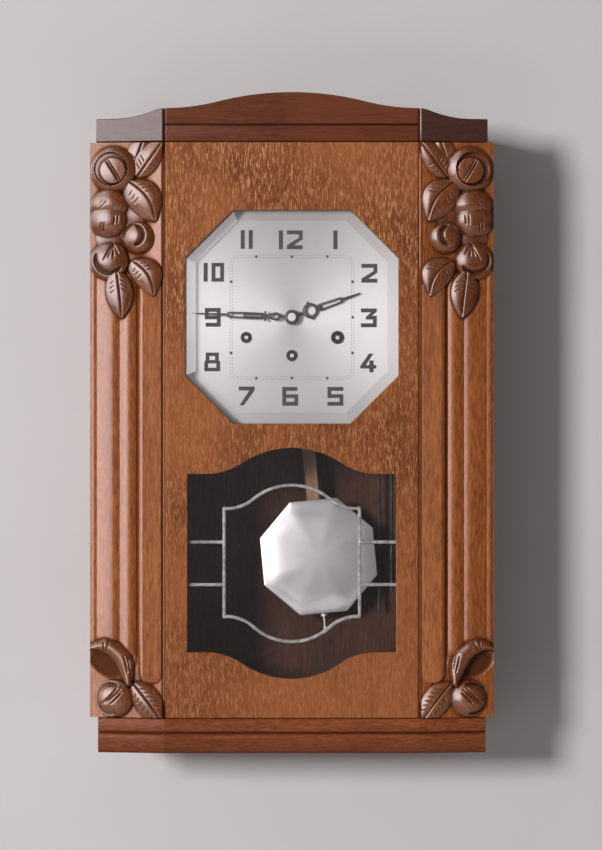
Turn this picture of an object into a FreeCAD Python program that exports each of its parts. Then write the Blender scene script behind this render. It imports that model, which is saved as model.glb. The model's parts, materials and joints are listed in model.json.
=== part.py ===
import FreeCAD, Part
import math
import os

Vector = FreeCAD.Vector

# Wall clock in millimetres: +X to the viewer's right, -Y towards the viewer, +Z up.
# The origin is the centre of the hanging hole, in the plane of the wall.

# Front: door, crown and plinth
DOOR_TOP = 40.0
DOOR_HEIGHT = 539.5
DOOR_HALF = 189.7
DOOR_FRONT = -146.0
DOOR_BACK = -125.6
PANEL_HALF = 119.4
CANT_DEGREES = 8.0
V_CUT = 1.6
DOOR_GAP = 0.8
CROWN_PEAK = 46.8
CROWN_SHOULDER = 31.8
CROWN_END = 22.4
CROWN_HALF = 184.0
CROWN_LINE = 16.4
PLINTH_HALF = 182.2
PLINTH_HEIGHT = 33.7
PLINTH_FILLET = 12.6
LINE_WIDTH = 1.6

# Box behind the door
BOX_HALF = 176.0
BOX_FRONT = -125.0
BOX_TOP = 60.0
BOX_BOTTOM = -530.0
BOARD = 12.0
BACK_BOARD = 8.0

# Openings in the door and their glass
CENTRE_Z = -123.7
DIAL_HALF = 100.0
DIAL_CUT = 45.0
REBATE = 5.0
REBATE_PLAY = 0.3
DIAL_LIP = 3.5
GLASS_EDGE = 3.0
GLASS_RISE = 2.0
GLASS_BEVEL = 10.0
WINDOW_HALF = 97.9
WINDOW_HIGH = -271.0
WINDOW_HIGH_PEAK = -246.6
WINDOW_LOW = -438.0
WINDOW_LOW_PEAK = -463.0
WINDOW_LEVEL = 18.0
WINDOW_LIP = 7.0
PANE = 3.0
CAME_WIDTH = 3.7
CAME_DEPTH = 5.0
CARTOUCHE_HALF = 63.6
CARTOUCHE_HIGH = -303.7
CARTOUCHE_HIGH_PEAK = -281.6
CARTOUCHE_LOW = -404.9
CARTOUCHE_LOW_PEAK = -428.6
CARTOUCHE_LEVEL = 2.0
ARCH_SHARE = 0.42
BAR_HEIGHTS = (-335.0, -375.0)
BEAD = 4.0

# Dial, hands and movement, as depths from the wall
DIAL_FRONT = -124.4
DIAL_BACK = -123.2
DIAL_PLATE_HALF = 112.0
FRONT_PLATE = (-102.5, -100.0)
BACK_PLATE = (-60.0, -57.5)
PLATE_HALF = 68.0
PLATE_RISE = 60.0
PLATE_DROP = 70.0
HOUR_HAND_DEPTH = (-127.8, -126.6)
MINUTE_HAND_DEPTH = (-131.8, -130.6)
HOUR_ANGLE = 70.7
MINUTE_ANGLE = 272.3
RUNNING = 0.06

# Pendulum
PALLET_RISE = 43.0
PENDULUM_LENGTH = 272.0
PENDULUM_SWING = 5.36
BOB_HALF = 54.6
ROD_DEPTH = (-40.0, -35.0)
BOB_DEPTH = (-48.0, -40.0)

# Hinges and hook
HINGE_X = 180.5
HINGE_Y = -120.5
HINGE_HEIGHTS = (-20.0, -440.0)
HINGE_HALF = 27.0
KNUCKLE = 3.5
HINGE_PIN = 1.5
LEAF = 1.5
HOOK_Y = -100.0
HOOK_Z = -230.0
HOOK_REACH = 19.0

# Chime
ROD_XS = (84.0, 96.0, 108.0, 120.0)
ROD_Y = -22.0
ROD_RADIUS = 1.6
ROD_LENGTHS = (410.0, 392.0, 374.0, 356.0)
GONG_BLOCK_Z = (6.0, 34.0)
HAMMER_Y = -46.0
HAMMER_Z = -63.7
HAMMER_ARM = 40.0

CANT = math.tan(math.radians(CANT_DEGREES))
DOOR_BOTTOM = DOOR_TOP - DOOR_HEIGHT
CROWN_BOTTOM = DOOR_TOP + DOOR_GAP
PLINTH_TOP = DOOR_BOTTOM - DOOR_GAP
PILASTER = DOOR_HALF - PANEL_HALF
PALLET_Z = CENTRE_Z + PALLET_RISE
PIECES = {}


def keep(name, *solids):
    """One named piece, or one group of like pieces."""
    PIECES[name] = solids[0] if len(solids) == 1 else Part.makeCompound(list(solids))


def block(x, y, z):
    """A squared block between pairs of coordinates."""
    return Part.makeBox(x[1] - x[0], y[1] - y[0], z[1] - z[0], Vector(x[0], y[0], z[0]))


def plate(points, depth):
    """A flat plate: an outline of (x, z) points between two depths from the wall."""
    wire = Part.makePolygon([Vector(x, depth[0], z) for x, z in points + points[:1]])
    return Part.Face(wire).extrude(Vector(0, depth[1] - depth[0], 0))


def upright(points, z0, z1):
    """A straight moulding: a plan of (x, y) points run from z0 up to z1."""
    wire = Part.makePolygon([Vector(x, y, z0) for x, y in points + points[:1]])
    return Part.Face(wire).extrude(Vector(0, 0, z1 - z0))


def thick(face, depth):
    """A face drawn in the plane of the wall, made solid between two depths."""
    moved = face.translated(Vector(0, depth[0], 0))
    return moved.extrude(Vector(0, depth[1] - depth[0], 0))


def mirrored(shape):
    """The same piece for the other side of the clock."""
    return shape.mirror(Vector(0, 0, 0), Vector(1, 0, 0))


def line(a, b):
    """A straight edge between two (x, z) points."""
    return Part.LineSegment(Vector(a[0], 0, a[1]), Vector(b[0], 0, b[1])).toShape()


def bow(a, middle, b):
    """An arc through three (x, z) points."""
    ends = [Vector(p[0], 0, p[1]) for p in (a, middle, b)]
    return Part.Arc(*ends).toShape()


def face_of(edges):
    """The face inside a closed set of edges."""
    return Part.Face(Part.Wire(Part.__sortEdges__(edges)))


def ogee(start, end, share):
    """Two arcs joined in an S, level at both ends; share is the first arc's part of the run."""
    turn = 2 * math.atan2(abs(end[1] - start[1]), abs(end[0] - start[0]))
    joint = [a + share * (b - a) for a, b in zip(start, end)]
    edges = []
    for foot in (start, end):
        radius = math.dist(foot, joint) / 2 / math.sin(turn / 2)
        across = math.copysign(radius * math.sin(turn / 2), joint[0] - foot[0])
        up = math.copysign(radius * (1 - math.cos(turn / 2)), joint[1] - foot[1])
        edges.append(bow(foot, (foot[0] + across, foot[1] + up), joint))
    return edges


def circle_points(x, z, radius, sides, turn):
    """Points evenly spaced round a circle."""
    angles = [turn + 2 * math.pi * i / sides for i in range(sides)]
    return [(x + radius * math.cos(a), z + radius * math.sin(a)) for a in angles]


def turned(spot, radius, depth):
    """A round bar along Y, or the space of a round hole."""
    foot = Vector(spot[0], depth[0], spot[1])
    return Part.makeCylinder(radius, depth[1] - depth[0], foot, Vector(0, 1, 0))


def strip(a, b, width_a, width_b, depth):
    """A tapered flat bar between two (x, z) points."""
    length = math.dist(a, b)
    across = ((a[1] - b[1]) / length, (b[0] - a[0]) / length)
    corners = []
    for point, width, side in ((a, width_a, 1), (b, width_b, 1), (b, width_b, -1), (a, width_a, -1)):
        reach = side * width / 2
        corners.append((point[0] + reach * across[0], point[1] + reach * across[1]))
    return plate(corners, depth)


def beyond(spot, angle, distance):
    """A point at an angle (anticlockwise from +X) and distance from another."""
    return (spot[0] + distance * math.cos(angle), spot[1] + distance * math.sin(angle))


# Front of the clock
def canted_plan(end, front, back):
    """Plan of a right-hand side part that leans back, with half of the V groove at its inner edge."""
    return [
        (PANEL_HALF, back),
        (PANEL_HALF, front + V_CUT),
        (PANEL_HALF + V_CUT, front + V_CUT * CANT),
        (end, front + (end - PANEL_HALF) * CANT),
        (end, back),
    ]


def middle_plan(front, back):
    """Plan of the flat middle part, with half of a V groove at each edge."""
    flat = PANEL_HALF - V_CUT
    right = [(PANEL_HALF, back), (PANEL_HALF, front + V_CUT), (flat, front)]
    return right + [(-x, y) for x, y in reversed(right)]


def make_crown():
    """Arched crown board and its two falling wings."""
    base = CROWN_BOTTOM
    shoulder = DOOR_TOP + CROWN_SHOULDER
    peak = DOOR_TOP + CROWN_PEAK
    wing_end = DOOR_TOP + CROWN_END
    arch_share = 0.42
    wing_share = 0.2
    wing_level = 16.0
    edges = [line((-PANEL_HALF, base), (PANEL_HALF, base))]
    for side in (-1, 1):
        edges.append(line((side * PANEL_HALF, base), (side * PANEL_HALF, shoulder)))
        edges += ogee((side * PANEL_HALF, shoulder), (0, peak), arch_share)
    depth = (DOOR_FRONT, BOX_FRONT)
    middle = thick(face_of(edges), depth)
    middle = middle.common(upright(middle_plan(DOOR_FRONT, BOX_FRONT), base, peak + 1))
    height = DOOR_TOP + CROWN_LINE
    groove = (height - LINE_WIDTH / 2, height + LINE_WIDTH / 2)
    middle = middle.cut(block((-PANEL_HALF, PANEL_HALF), (DOOR_FRONT, DOOR_FRONT + LINE_WIDTH), groove))
    keep("crown_centre", middle)
    edges = [
        line((PANEL_HALF, shoulder), (PANEL_HALF, base)),
        line((PANEL_HALF, base), (CROWN_HALF, base)),
        line((CROWN_HALF, base), (CROWN_HALF, wing_end)),
        line((CROWN_HALF, wing_end), (CROWN_HALF - wing_level, wing_end)),
    ]
    edges += ogee((PANEL_HALF, shoulder), (CROWN_HALF - wing_level, wing_end), wing_share)
    wing = thick(face_of(edges), depth)
    wing = wing.common(upright(canted_plan(CROWN_HALF, DOOR_FRONT, BOX_FRONT), base, peak))
    keep("crown_wings", wing, mirrored(wing))


def plinth_run(x, back):
    """A length of plinth moulding: a fillet, a groove and a lower part with a rounded upper edge."""
    bottom = PLINTH_TOP - PLINTH_HEIGHT + DOOR_GAP
    groove = PLINTH_TOP - PLINTH_FILLET
    set_back = 2.0
    round_edge = 5.0
    fillet = block(x, (DOOR_FRONT + set_back, back), (groove, PLINTH_TOP))
    neck = block(x, (DOOR_FRONT + 2 * set_back, back), (groove - LINE_WIDTH, groove))
    lower = block(x, (DOOR_FRONT, back), (bottom, groove - LINE_WIDTH))
    front_edges = []
    for edge in lower.Edges:
        place = edge.CenterOfMass
        if place.y == DOOR_FRONT and abs(place.z - groove + LINE_WIDTH) < 0.01:
            front_edges.append(edge)
    lower = lower.makeFillet(round_edge, front_edges)
    return fillet.multiFuse([neck, lower]).removeSplitter()


def make_plinth():
    """Plinth moulding under the door: a middle run and two wings that lean back."""
    spare = 20.0
    middle = plinth_run((-PANEL_HALF, PANEL_HALF), BOX_FRONT)
    limits = ((PANEL_HALF, PLINTH_HALF), (2 * DOOR_FRONT, BOX_FRONT), (BOX_BOTTOM - spare, DOOR_BOTTOM))
    wing = plinth_run((PANEL_HALF - spare, PLINTH_HALF + spare), BOX_FRONT + 2 * spare)
    wing.rotate(Vector(PANEL_HALF, DOOR_FRONT, 0), Vector(0, 0, 1), CANT_DEGREES)
    wing = wing.common(block(*limits))
    keep("plinth", middle, wing, mirrored(wing))


def octagon(grow):
    """The dial opening's outline, grown evenly by a margin."""
    half = DIAL_HALF + grow
    cut = DIAL_CUT + grow * (2 - math.sqrt(2))
    flat = half - cut
    quarter = [(half, flat), (flat, half)]
    points = []
    for quadrant in range(4):
        cos, sin = ((1, 0), (0, 1), (-1, 0), (0, -1))[quadrant]
        points += [(x * cos - z * sin, x * sin + z * cos + CENTRE_Z) for x, z in quarter]
    return points


def arched_face(half, low, low_peak, high, high_peak, level):
    """An upright frame outline with level shoulders and an arch at top and bottom."""
    edges = []
    for side in (-1, 1):
        edges.append(line((side * half, low), (side * half, high)))
        for corner, peak in ((low, low_peak), (high, high_peak)):
            shoulder = (side * (half - level), corner)
            edges.append(line((side * half, corner), shoulder))
            edges += ogee(shoulder, (0, peak), ARCH_SHARE)
    return face_of(edges)


def window_face(grow):
    """The lower window's outline, grown by a margin."""
    return arched_face(
        WINDOW_HALF + grow,
        WINDOW_LOW - grow,
        WINDOW_LOW_PEAK - grow,
        WINDOW_HIGH + grow,
        WINDOW_HIGH_PEAK + grow,
        WINDOW_LEVEL,
    )


def cartouche_face(grow):
    """The middle pane's outline, grown by a margin."""
    return arched_face(
        CARTOUCHE_HALF + grow,
        CARTOUCHE_LOW - grow,
        CARTOUCHE_LOW_PEAK - grow,
        CARTOUCHE_HIGH + grow,
        CARTOUCHE_HIGH_PEAK + grow,
        CARTOUCHE_LEVEL,
    )


def make_door_panel():
    """Middle panel of the door with rebated openings for the dial glass and the window."""
    panel = upright(middle_plan(DOOR_FRONT, DOOR_BACK), DOOR_BOTTOM, DOOR_TOP)
    through = (DOOR_FRONT - 1, DOOR_BACK + 1)
    dial_rebate = (DOOR_FRONT + DIAL_LIP, DOOR_BACK + 1)
    window_rebate = (DOOR_FRONT + WINDOW_LIP, DOOR_BACK + 1)
    panel = panel.cut(plate(octagon(0), through))
    panel = panel.cut(plate(octagon(REBATE), dial_rebate))
    panel = panel.cut(thick(window_face(0), through))
    panel = panel.cut(thick(window_face(REBATE), window_rebate))
    keep("door_panel", panel)


def make_dial_glass():
    """Bevelled eight-sided glass and the wooden bead behind it."""
    seat = DOOR_FRONT + DIAL_LIP
    rear = seat + GLASS_EDGE
    sheet = plate(octagon(REBATE - REBATE_PLAY), (seat, rear))
    wires = []
    for grow, y in ((-REBATE_PLAY, seat), (-GLASS_BEVEL, seat - GLASS_RISE)):
        points = octagon(grow)
        wires.append(Part.makePolygon([Vector(x, y, z) for x, z in points + points[:1]]))
    bevel = Part.makeLoft(wires, True, True)
    keep("dial_glass", sheet.fuse(bevel).removeSplitter())
    ring = plate(octagon(REBATE - REBATE_PLAY), (rear, rear + BEAD))
    return ring.cut(plate(octagon(0), (rear, rear + BEAD)))


def make_window():
    """Lead cames, the five panes between them and the wooden bead behind."""
    front = DOOR_FRONT + WINDOW_LIP
    rear = front + PANE
    spare = (CAME_DEPTH - PANE) / 2
    lead = (front - spare, rear + spare)
    ring = thick(cartouche_face(CAME_WIDTH / 2), lead)
    ring = ring.cut(thick(cartouche_face(-CAME_WIDTH / 2), lead))
    bars = []
    for height in BAR_HEIGHTS:
        for side in (-1, 1):
            x = sorted((side * CARTOUCHE_HALF, side * (WINDOW_HALF - REBATE_PLAY)))
            bars.append(block(x, lead, (height - CAME_WIDTH / 2, height + CAME_WIDTH / 2)))
    inside = thick(cartouche_face(-CAME_WIDTH / 2), lead)
    cames = ring.multiFuse(bars).cut(inside).removeSplitter()
    keep("window_cames", cames)
    glass = thick(window_face(REBATE - REBATE_PLAY), (front, rear))
    glass = glass.cut(thick(cartouche_face(CAME_WIDTH / 2), (front, rear)))
    edge = WINDOW_HALF + REBATE
    for height in BAR_HEIGHTS:
        gap = (height - CAME_WIDTH / 2, height + CAME_WIDTH / 2)
        glass = glass.cut(block((-edge, edge), (front, rear), gap))
    middle = thick(cartouche_face(-CAME_WIDTH / 2), (front, rear))
    keep("window_panes", middle, *glass.Solids)
    bead = thick(window_face(REBATE - REBATE_PLAY), (rear, rear + BEAD))
    return bead.cut(thick(window_face(0), (rear, rear + BEAD)))


# Reeds of the right-hand pilaster: start and end from its inner edge, and rise above the ground
REED_C = (2.0, 24.5, 3.5)
REED_B = (27.3, 46.0, 4.5)
REED_A = (46.9, 64.7, 4.2)
REED_EDGE = (64.7, 70.3, 1.5)
DEEP_GROOVE = 2.5
FINE_GROOVE = 0.8


def pilaster_point(run, rise):
    """A point of the pilaster's plan, from its inner edge and its leaning ground."""
    return Vector(PANEL_HALF + run, DOOR_FRONT + run * CANT - rise, DOOR_BOTTOM)


def make_pilaster():
    """The right-hand pilaster: a leaning ground with three reeds and an edge bead."""
    edges = []
    last = pilaster_point(0, -V_CUT)
    first = last

    def straight_to(point):
        nonlocal last
        edges.append(Part.LineSegment(last, point).toShape())
        last = point

    def arc_to(middle, point):
        nonlocal last
        edges.append(Part.Arc(last, middle, point).toShape())
        last = point

    def reed(start, end, rise):
        arc_to(pilaster_point((start + end) / 2, rise), pilaster_point(end, 0))

    start, end, rise = REED_C
    corner = 4.0
    shoulder = 0.293
    straight_to(pilaster_point(start, 0))
    arc_to(
        pilaster_point(start + corner * shoulder, rise * (1 - shoulder)),
        pilaster_point(start + corner, rise),
    )
    straight_to(pilaster_point(end - corner, rise))
    arc_to(
        pilaster_point(end - corner * shoulder, rise * (1 - shoulder)),
        pilaster_point(end, 0),
    )
    straight_to(pilaster_point((end + REED_B[0]) / 2, -DEEP_GROOVE))
    straight_to(pilaster_point(REED_B[0], 0))
    reed(*REED_B)
    straight_to(pilaster_point((REED_B[1] + REED_A[0]) / 2, -FINE_GROOVE))
    straight_to(pilaster_point(REED_A[0], 0))
    reed(*REED_A)
    reed(*REED_EDGE)
    straight_to(Vector(DOOR_HALF, DOOR_BACK, DOOR_BOTTOM))
    straight_to(Vector(PANEL_HALF, DOOR_BACK, DOOR_BOTTOM))
    straight_to(first)
    return Part.Face(Part.Wire(edges)).extrude(Vector(0, 0, DOOR_HEIGHT))


# Carvings: places from the pilaster's outer edge inwards and from the door's top edge down
UPPER_FRUITS = (
    ((22.9, 25.3), 22.2, 9.5),
    ((17.6, 75.5), 17.2, 8.0),
    ((45.9, 88.7), 15.5, 7.5),
    ((20.0, 110.5), 19.4, 9.0),
)
UPPER_LEAVES = (
    ((44.0, 37.0), (67.0, 5.5), 22.0),
    ((38.0, 33.0), (60.9, 74.9), 28.0),
    ((25.0, 38.0), (17.0, 66.0), 24.0),
    ((50.0, 97.0), (59.9, 144.2), 22.0),
    ((22.0, 122.0), (30.5, 164.8), 24.0),
)
LOWER_FRUITS = (((23.9, 520.3), 18.0, 8.5),)
LOWER_LEAVES = (
    ((3.5, 488.0), (44.0, 506.0), 26.0),
    ((38.0, 510.0), (67.0, 537.0), 24.0),
)
LEAF_RISE = 6.0


def carving_point(place):
    """A carving's place as (x, z) on a flat ground whose inner edge is at x = 0."""
    return (PILASTER - place[0], -place[1])


def fruit(place, radius, rise):
    """A round fruit that swells out of the ground."""
    x, z = carving_point(place)
    ball = (radius**2 + rise**2) / (2 * rise)
    sphere = Part.makeSphere(ball, Vector(x, ball - rise, z))
    return sphere.common(block((x - ball, x + ball), (-rise - 1, 0), (z - ball, z + ball)))


def leaf(base, tip, width):
    """A pointed leaf standing off the ground."""
    a = carving_point(base)
    b = carving_point(tip)
    length = math.dist(a, b)
    across = ((a[1] - b[1]) / length, (b[0] - a[0]) / length)
    edges = []
    for side in (-1, 1):
        middle = [(p + q) / 2 + side * width / 2 * c for p, q, c in zip(a, b, across)]
        edges.append(bow(a, middle, b))
    return thick(face_of(edges), (-LEAF_RISE, 0))


def make_carving(fruits, leaves):
    """One spray of fruit and leaves for the right-hand pilaster."""
    solids = [fruit(*values) for values in fruits]
    solids += [leaf(*values) for values in leaves]
    spray = solids[0].multiFuse(solids[1:]).removeSplitter()
    spray.rotate(Vector(0, 0, 0), Vector(0, 0, 1), CANT_DEGREES)
    spray.translate(Vector(PANEL_HALF, DOOR_FRONT, DOOR_TOP))
    x = (PANEL_HALF + V_CUT, DOOR_HALF)
    return spray.common(block(x, (2 * DOOR_FRONT, DOOR_BACK), (DOOR_BOTTOM, DOOR_TOP)))


def make_pilasters():
    """Both pilasters and the carvings let into them."""
    upper = make_carving(UPPER_FRUITS, UPPER_LEAVES)
    lower = make_carving(LOWER_FRUITS, LOWER_LEAVES)
    right = make_pilaster().cut(upper).cut(lower)
    keep("right_pilaster", right)
    keep("left_pilaster", mirrored(right))
    keep("upper_carvings", upper, mirrored(upper))
    keep("lower_carvings", lower, mirrored(lower))


# Hinges on the right, hook on the left
def make_hinges():
    """Two butt hinges in the corner between the door's back and the side board."""
    case_leaves = []
    door_leaves = []
    pins = []
    third = 2 * HINGE_HALF / 3
    knuckle_gap = 0.3
    leaf_reach = 16.0
    leaf_y = HINGE_Y + KNUCKLE - LEAF
    foot_thick = 1.0
    for height in HINGE_HEIGHTS:
        bottom = height - HINGE_HALF
        spans = [(bottom + i * third, bottom + (i + 1) * third) for i in range(3)]
        axis = Vector(HINGE_X, HINGE_Y, bottom)
        hole = Part.makeCylinder(HINGE_PIN + RUNNING, 2 * HINGE_HALF, axis)
        case = []
        for low, high in (spans[0], spans[2]):
            case.append(Part.makeCylinder(KNUCKLE, high - low, Vector(HINGE_X, HINGE_Y, low)))
            case.append(block((BOX_HALF, HINGE_X), (leaf_y, leaf_y + LEAF), (low, high)))
        wing_y = (leaf_y, leaf_y + LEAF + leaf_reach)
        case.append(block((BOX_HALF, BOX_HALF + LEAF), wing_y, (bottom, bottom + 2 * HINGE_HALF)))
        case_leaves.append(case[0].multiFuse(case[1:]).cut(hole).removeSplitter())
        low, high = spans[1][0] + knuckle_gap, spans[1][1] - knuckle_gap
        barrel = Part.makeCylinder(KNUCKLE, high - low, Vector(HINGE_X, HINGE_Y, low))
        neck = block((HINGE_X + KNUCKLE - LEAF, HINGE_X + KNUCKLE), (DOOR_BACK, HINGE_Y), (low, high))
        foot_x = (HINGE_X, DOOR_HALF - LEAF)
        foot = block(foot_x, (DOOR_BACK, DOOR_BACK + foot_thick), (low, high))
        door_leaves.append(barrel.multiFuse([neck, foot]).cut(hole).removeSplitter())
        pins.append(Part.makeCylinder(HINGE_PIN, 2 * HINGE_HALF, axis))
    keep("hinge_case_leaves", *case_leaves)
    keep("hinge_door_leaves", *door_leaves)
    keep("hinge_pins", *pins)


def make_hook():
    """A hook that hangs from the left side board, its screw, and its keeper on the door."""
    washer = 2.5
    hook_thick = 1.6
    half_width = 4.0
    screw = 2.0
    slot_half = 1.7
    keeper_pin = 1.2
    outer = -BOX_HALF - washer
    tip = HOOK_REACH + 5.0
    leading = HOOK_Y - half_width
    trailing = HOOK_Y + half_width
    slot_top = HOOK_Z - HOOK_REACH + slot_half
    slot_bottom = HOOK_Z - HOOK_REACH - slot_half
    outline = [
        (leading, HOOK_Z + half_width),
        (trailing, HOOK_Z + half_width),
        (trailing, HOOK_Z - tip),
        (leading, HOOK_Z - tip),
        (leading, slot_bottom),
        (HOOK_Y + slot_half, slot_bottom),
        (HOOK_Y + slot_half, slot_top),
        (leading, slot_top),
    ]
    wire = Part.makePolygon([Vector(outer, y, z) for y, z in outline + outline[:1]])
    hook = Part.Face(wire).extrude(Vector(-hook_thick, 0, 0))
    along = Vector(-1, 0, 0)
    inside = Vector(-BOX_HALF + BOARD / 2, HOOK_Y, HOOK_Z)
    shank_length = BOARD / 2 + washer + hook_thick
    hole = Part.makeCylinder(screw + RUNNING, 2 * BOARD, inside, along)
    keep("door_hook", hook.cut(hole))
    shank = Part.makeCylinder(screw, shank_length + RUNNING, inside, along)
    collar = Part.makeCylinder(2 * screw, washer - RUNNING, Vector(-BOX_HALF, HOOK_Y, HOOK_Z), along)
    head_at = Vector(outer - hook_thick - RUNNING, HOOK_Y, HOOK_Z)
    head = Part.makeCylinder(2 * screw, screw, head_at, along)
    lug_half = 3.0
    lug_thick = 4.0
    pin_length = 6.0
    pin_root = 0.5
    lug_x = (-DOOR_HALF + lug_half, -DOOR_HALF + lug_half + lug_thick)
    keeper_y = HOOK_Y - HOOK_REACH
    lug = block(lug_x, (DOOR_BACK, keeper_y + lug_half), (HOOK_Z - lug_half, HOOK_Z + lug_half))
    pin_start = Vector(lug_x[1] - pin_root, keeper_y, HOOK_Z)
    pin = Part.makeCylinder(keeper_pin, pin_length, pin_start, Vector(1, 0, 0))
    keep("hook_keeper", lug.fuse(pin))
    return shank.multiFuse([collar, head])


# Box and hanger
SCREW_HEAD = 3.0
SCREW_HEAD_THICK = 1.2
SCREW_SHANK = 1.5
HANGER_SCREW = (15.0, 17.0, 7.0)
RAIL_X = (58.0, 66.0)
RAIL_HALF = 45.0
RAIL_SCREW = (30.0, 16.0)
HANGER_HOLLOW = (9.0, -9.0, 16.0)


def wood_screw(spot, y, length, inward):
    """A flat-headed screw driven along Y from the face at y."""
    way = Vector(0, inward, 0)
    start = Vector(spot[0], y, spot[1])
    disc = Part.makeCylinder(SCREW_HEAD, SCREW_HEAD_THICK, start, way)
    return disc.fuse(Part.makeCylinder(SCREW_SHANK, length, start, way))


def make_box(hook_screw):
    """Back, sides, top and bottom boards, the hanger plate, the movement's rails and the screws."""
    inner = BOX_HALF - BOARD
    sides = []
    for side in (-1, 1):
        x = sorted((side * inner, side * BOX_HALF))
        sides.append(block(x, (BOX_FRONT, 0), (BOX_BOTTOM, BOX_TOP)))
    hole_radius = 4.5
    slot_half = 2.2
    slot_top = 12.0
    hanger_half = 22.0
    hanger_z = (-14.0, 24.0)
    hanger_thick = 2.0
    hanger = block((-hanger_half, hanger_half), (-hanger_thick, 0), hanger_z)
    hole = Part.makeCylinder(hole_radius, hanger_thick, Vector(0, -hanger_thick, 0), Vector(0, 1, 0))
    slot = block((-slot_half, slot_half), (-hanger_thick, 0), (0, slot_top))
    screw_x, screw_z, length = HANGER_SCREW
    screws = [wood_screw((side * screw_x, screw_z), 0, length, -1) for side in (-1, 1)]
    back = block((-inner, inner), (-BACK_BOARD, 0), (BOX_BOTTOM + BOARD, BOX_TOP - BOARD))
    back = back.cut(hanger)
    hollow_half, hollow_low, hollow_high = HANGER_HOLLOW
    back = back.cut(block((-hollow_half, hollow_half), (-BACK_BOARD, 0), (hollow_low, hollow_high)))
    rail_y = (BACK_PLATE[1], -BACK_BOARD)
    rail_z = (CENTRE_Z - RAIL_HALF, CENTRE_Z + RAIL_HALF)
    screw_rise, length = RAIL_SCREW
    rails = []
    for side in (-1, 1):
        rail = block(sorted((side * RAIL_X[0], side * RAIL_X[1])), rail_y, rail_z)
        for rise in (-screw_rise, screw_rise):
            spot = (side * sum(RAIL_X) / 2, CENTRE_Z + rise)
            screw = wood_screw(spot, BACK_PLATE[0] - SCREW_HEAD_THICK, length, 1)
            screws.append(screw)
            rail = rail.cut(screw)
        rails.append(rail)
    for screw in screws[:2]:
        hanger = hanger.cut(screw)
        back = back.cut(screw)
    keep("hanger_plate", hanger.cut(hole).cut(slot))
    keep("back_board", back)
    keep("movement_rails", *rails)
    sides[0] = sides[0].cut(hook_screw)
    keep("side_boards", *sides)
    keep("top_board", block((-inner, inner), (BOX_FRONT, 0), (BOX_TOP - BOARD, BOX_TOP)))
    keep("bottom_board", block((-inner, inner), (BOX_FRONT, 0), (BOX_BOTTOM, BOX_BOTTOM + BOARD)))
    keep("case_screws", hook_screw, *screws)
    return screws[2:]


# Train: teeth, module and places from the hands' centre
CENTRE = (0.0, CENTRE_Z)
TIME_SPOT = (0.0, CENTRE_Z - 36.0)
STRIKE_SPOT = (-43.0, CENTRE_Z - 19.0)
CHIME_SPOT = (43.0, CENTRE_Z - 19.0)
PALLET_SPOT = (0.0, PALLET_Z)
GREAT = (72, 0.6)
INTERMEDIATE = (60, 0.6)
CENTRE_TRAIN = (80, 0.45)
THIRD = (72, 0.4)
LOW_PINION = 12
HIGH_PINION = 8
CANNON_TEETH = 14
MINUTE_TEETH = 42
MINUTE_MODULE = 0.5
HOUR_PINION = 12
HOUR_TEETH = 48
MOTION_REACH = (CANNON_TEETH + MINUTE_TEETH) * MINUTE_MODULE / 2
HOUR_MODULE = 2 * MOTION_REACH / (HOUR_PINION + HOUR_TEETH)
MINUTE_SPOT = (0.0, CENTRE_Z + MOTION_REACH)
ESCAPE_TEETH = 40
ESCAPE_RADIUS = 12.0


def reach(wheel, leaves):
    """Distance between the centres of a wheel and its pinion."""
    return (wheel[0] + leaves) * wheel[1] / 2


def crossing(a, reach_a, b, reach_b):
    """The right-hand point at given distances from two points on one upright line."""
    gap = b[1] - a[1]
    up = (gap**2 + reach_a**2 - reach_b**2) / (2 * gap)
    return (a[0] + math.sqrt(reach_a**2 - up**2), a[1] + up)


INTERMEDIATE_SPOT = crossing(
    TIME_SPOT, reach(GREAT, LOW_PINION), CENTRE, reach(INTERMEDIATE, LOW_PINION)
)
THIRD_SPOT = beyond(CENTRE, math.radians(135.0), reach(CENTRE_TRAIN, HIGH_PINION))
ESCAPE_SPOT = beyond(THIRD_SPOT, math.radians(50.0), reach(THIRD, HIGH_PINION))


def flank_turn(radius, pitch, rolling):
    """How far a tooth's rounded flank has turned in when it reaches a radius."""
    outer = pitch + rolling
    cosine = (outer**2 + rolling**2 - radius**2) / (2 * outer * rolling)
    roll = math.acos(max(-1.0, min(1.0, cosine))) * rolling / pitch
    x = outer * math.cos(roll) - rolling * math.cos(outer * roll / rolling)
    y = outer * math.sin(roll) - rolling * math.sin(outer * roll / rolling)
    return math.atan2(y, x)


def gear(spot, teeth, module, mate_teeth, aim, is_pinion, depth):
    """A toothed wheel with straight inner flanks and rolled outer ones.

    A tooth of a wheel points along aim, and a gap of a pinion faces it.
    """
    pitch = teeth * module / 2
    rolling = mate_teeth * module / 4
    share = 0.40 if is_pinion else 0.45
    tip = 0.6 if is_pinion else 1.1
    root = 1.6 if is_pinion else 1.1
    half = share * math.pi / teeth
    offset = math.pi / teeth if is_pinion else 0.0
    flank = [(pitch - root * module, half), (pitch, half)]
    for part in (0.5, 1.0):
        radius = pitch + part * tip * module
        flank.append((radius, half - flank_turn(radius, pitch, rolling)))
    points = []
    for tooth in range(teeth):
        middle = aim + offset + 2 * math.pi * tooth / teeth
        points += [beyond(spot, middle - turn, radius) for radius, turn in flank]
        points += [beyond(spot, middle + turn, radius) for radius, turn in reversed(flank)]
    return plate(points, depth)


def direction(a, b):
    """The angle from one point to another, anticlockwise from +X."""
    return math.atan2(b[1] - a[1], b[0] - a[0])


def wheel_for(spot, wheel, leaves, mate_spot, depth):
    """A driving wheel in mesh with a pinion at mate_spot."""
    return gear(spot, wheel[0], wheel[1], leaves, direction(spot, mate_spot), False, depth)


def pinion_for(spot, leaves, wheel, mate_spot, depth):
    """A pinion in mesh with a wheel at mate_spot."""
    return gear(spot, leaves, wheel[1], wheel[0], direction(spot, mate_spot), True, depth)


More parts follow.
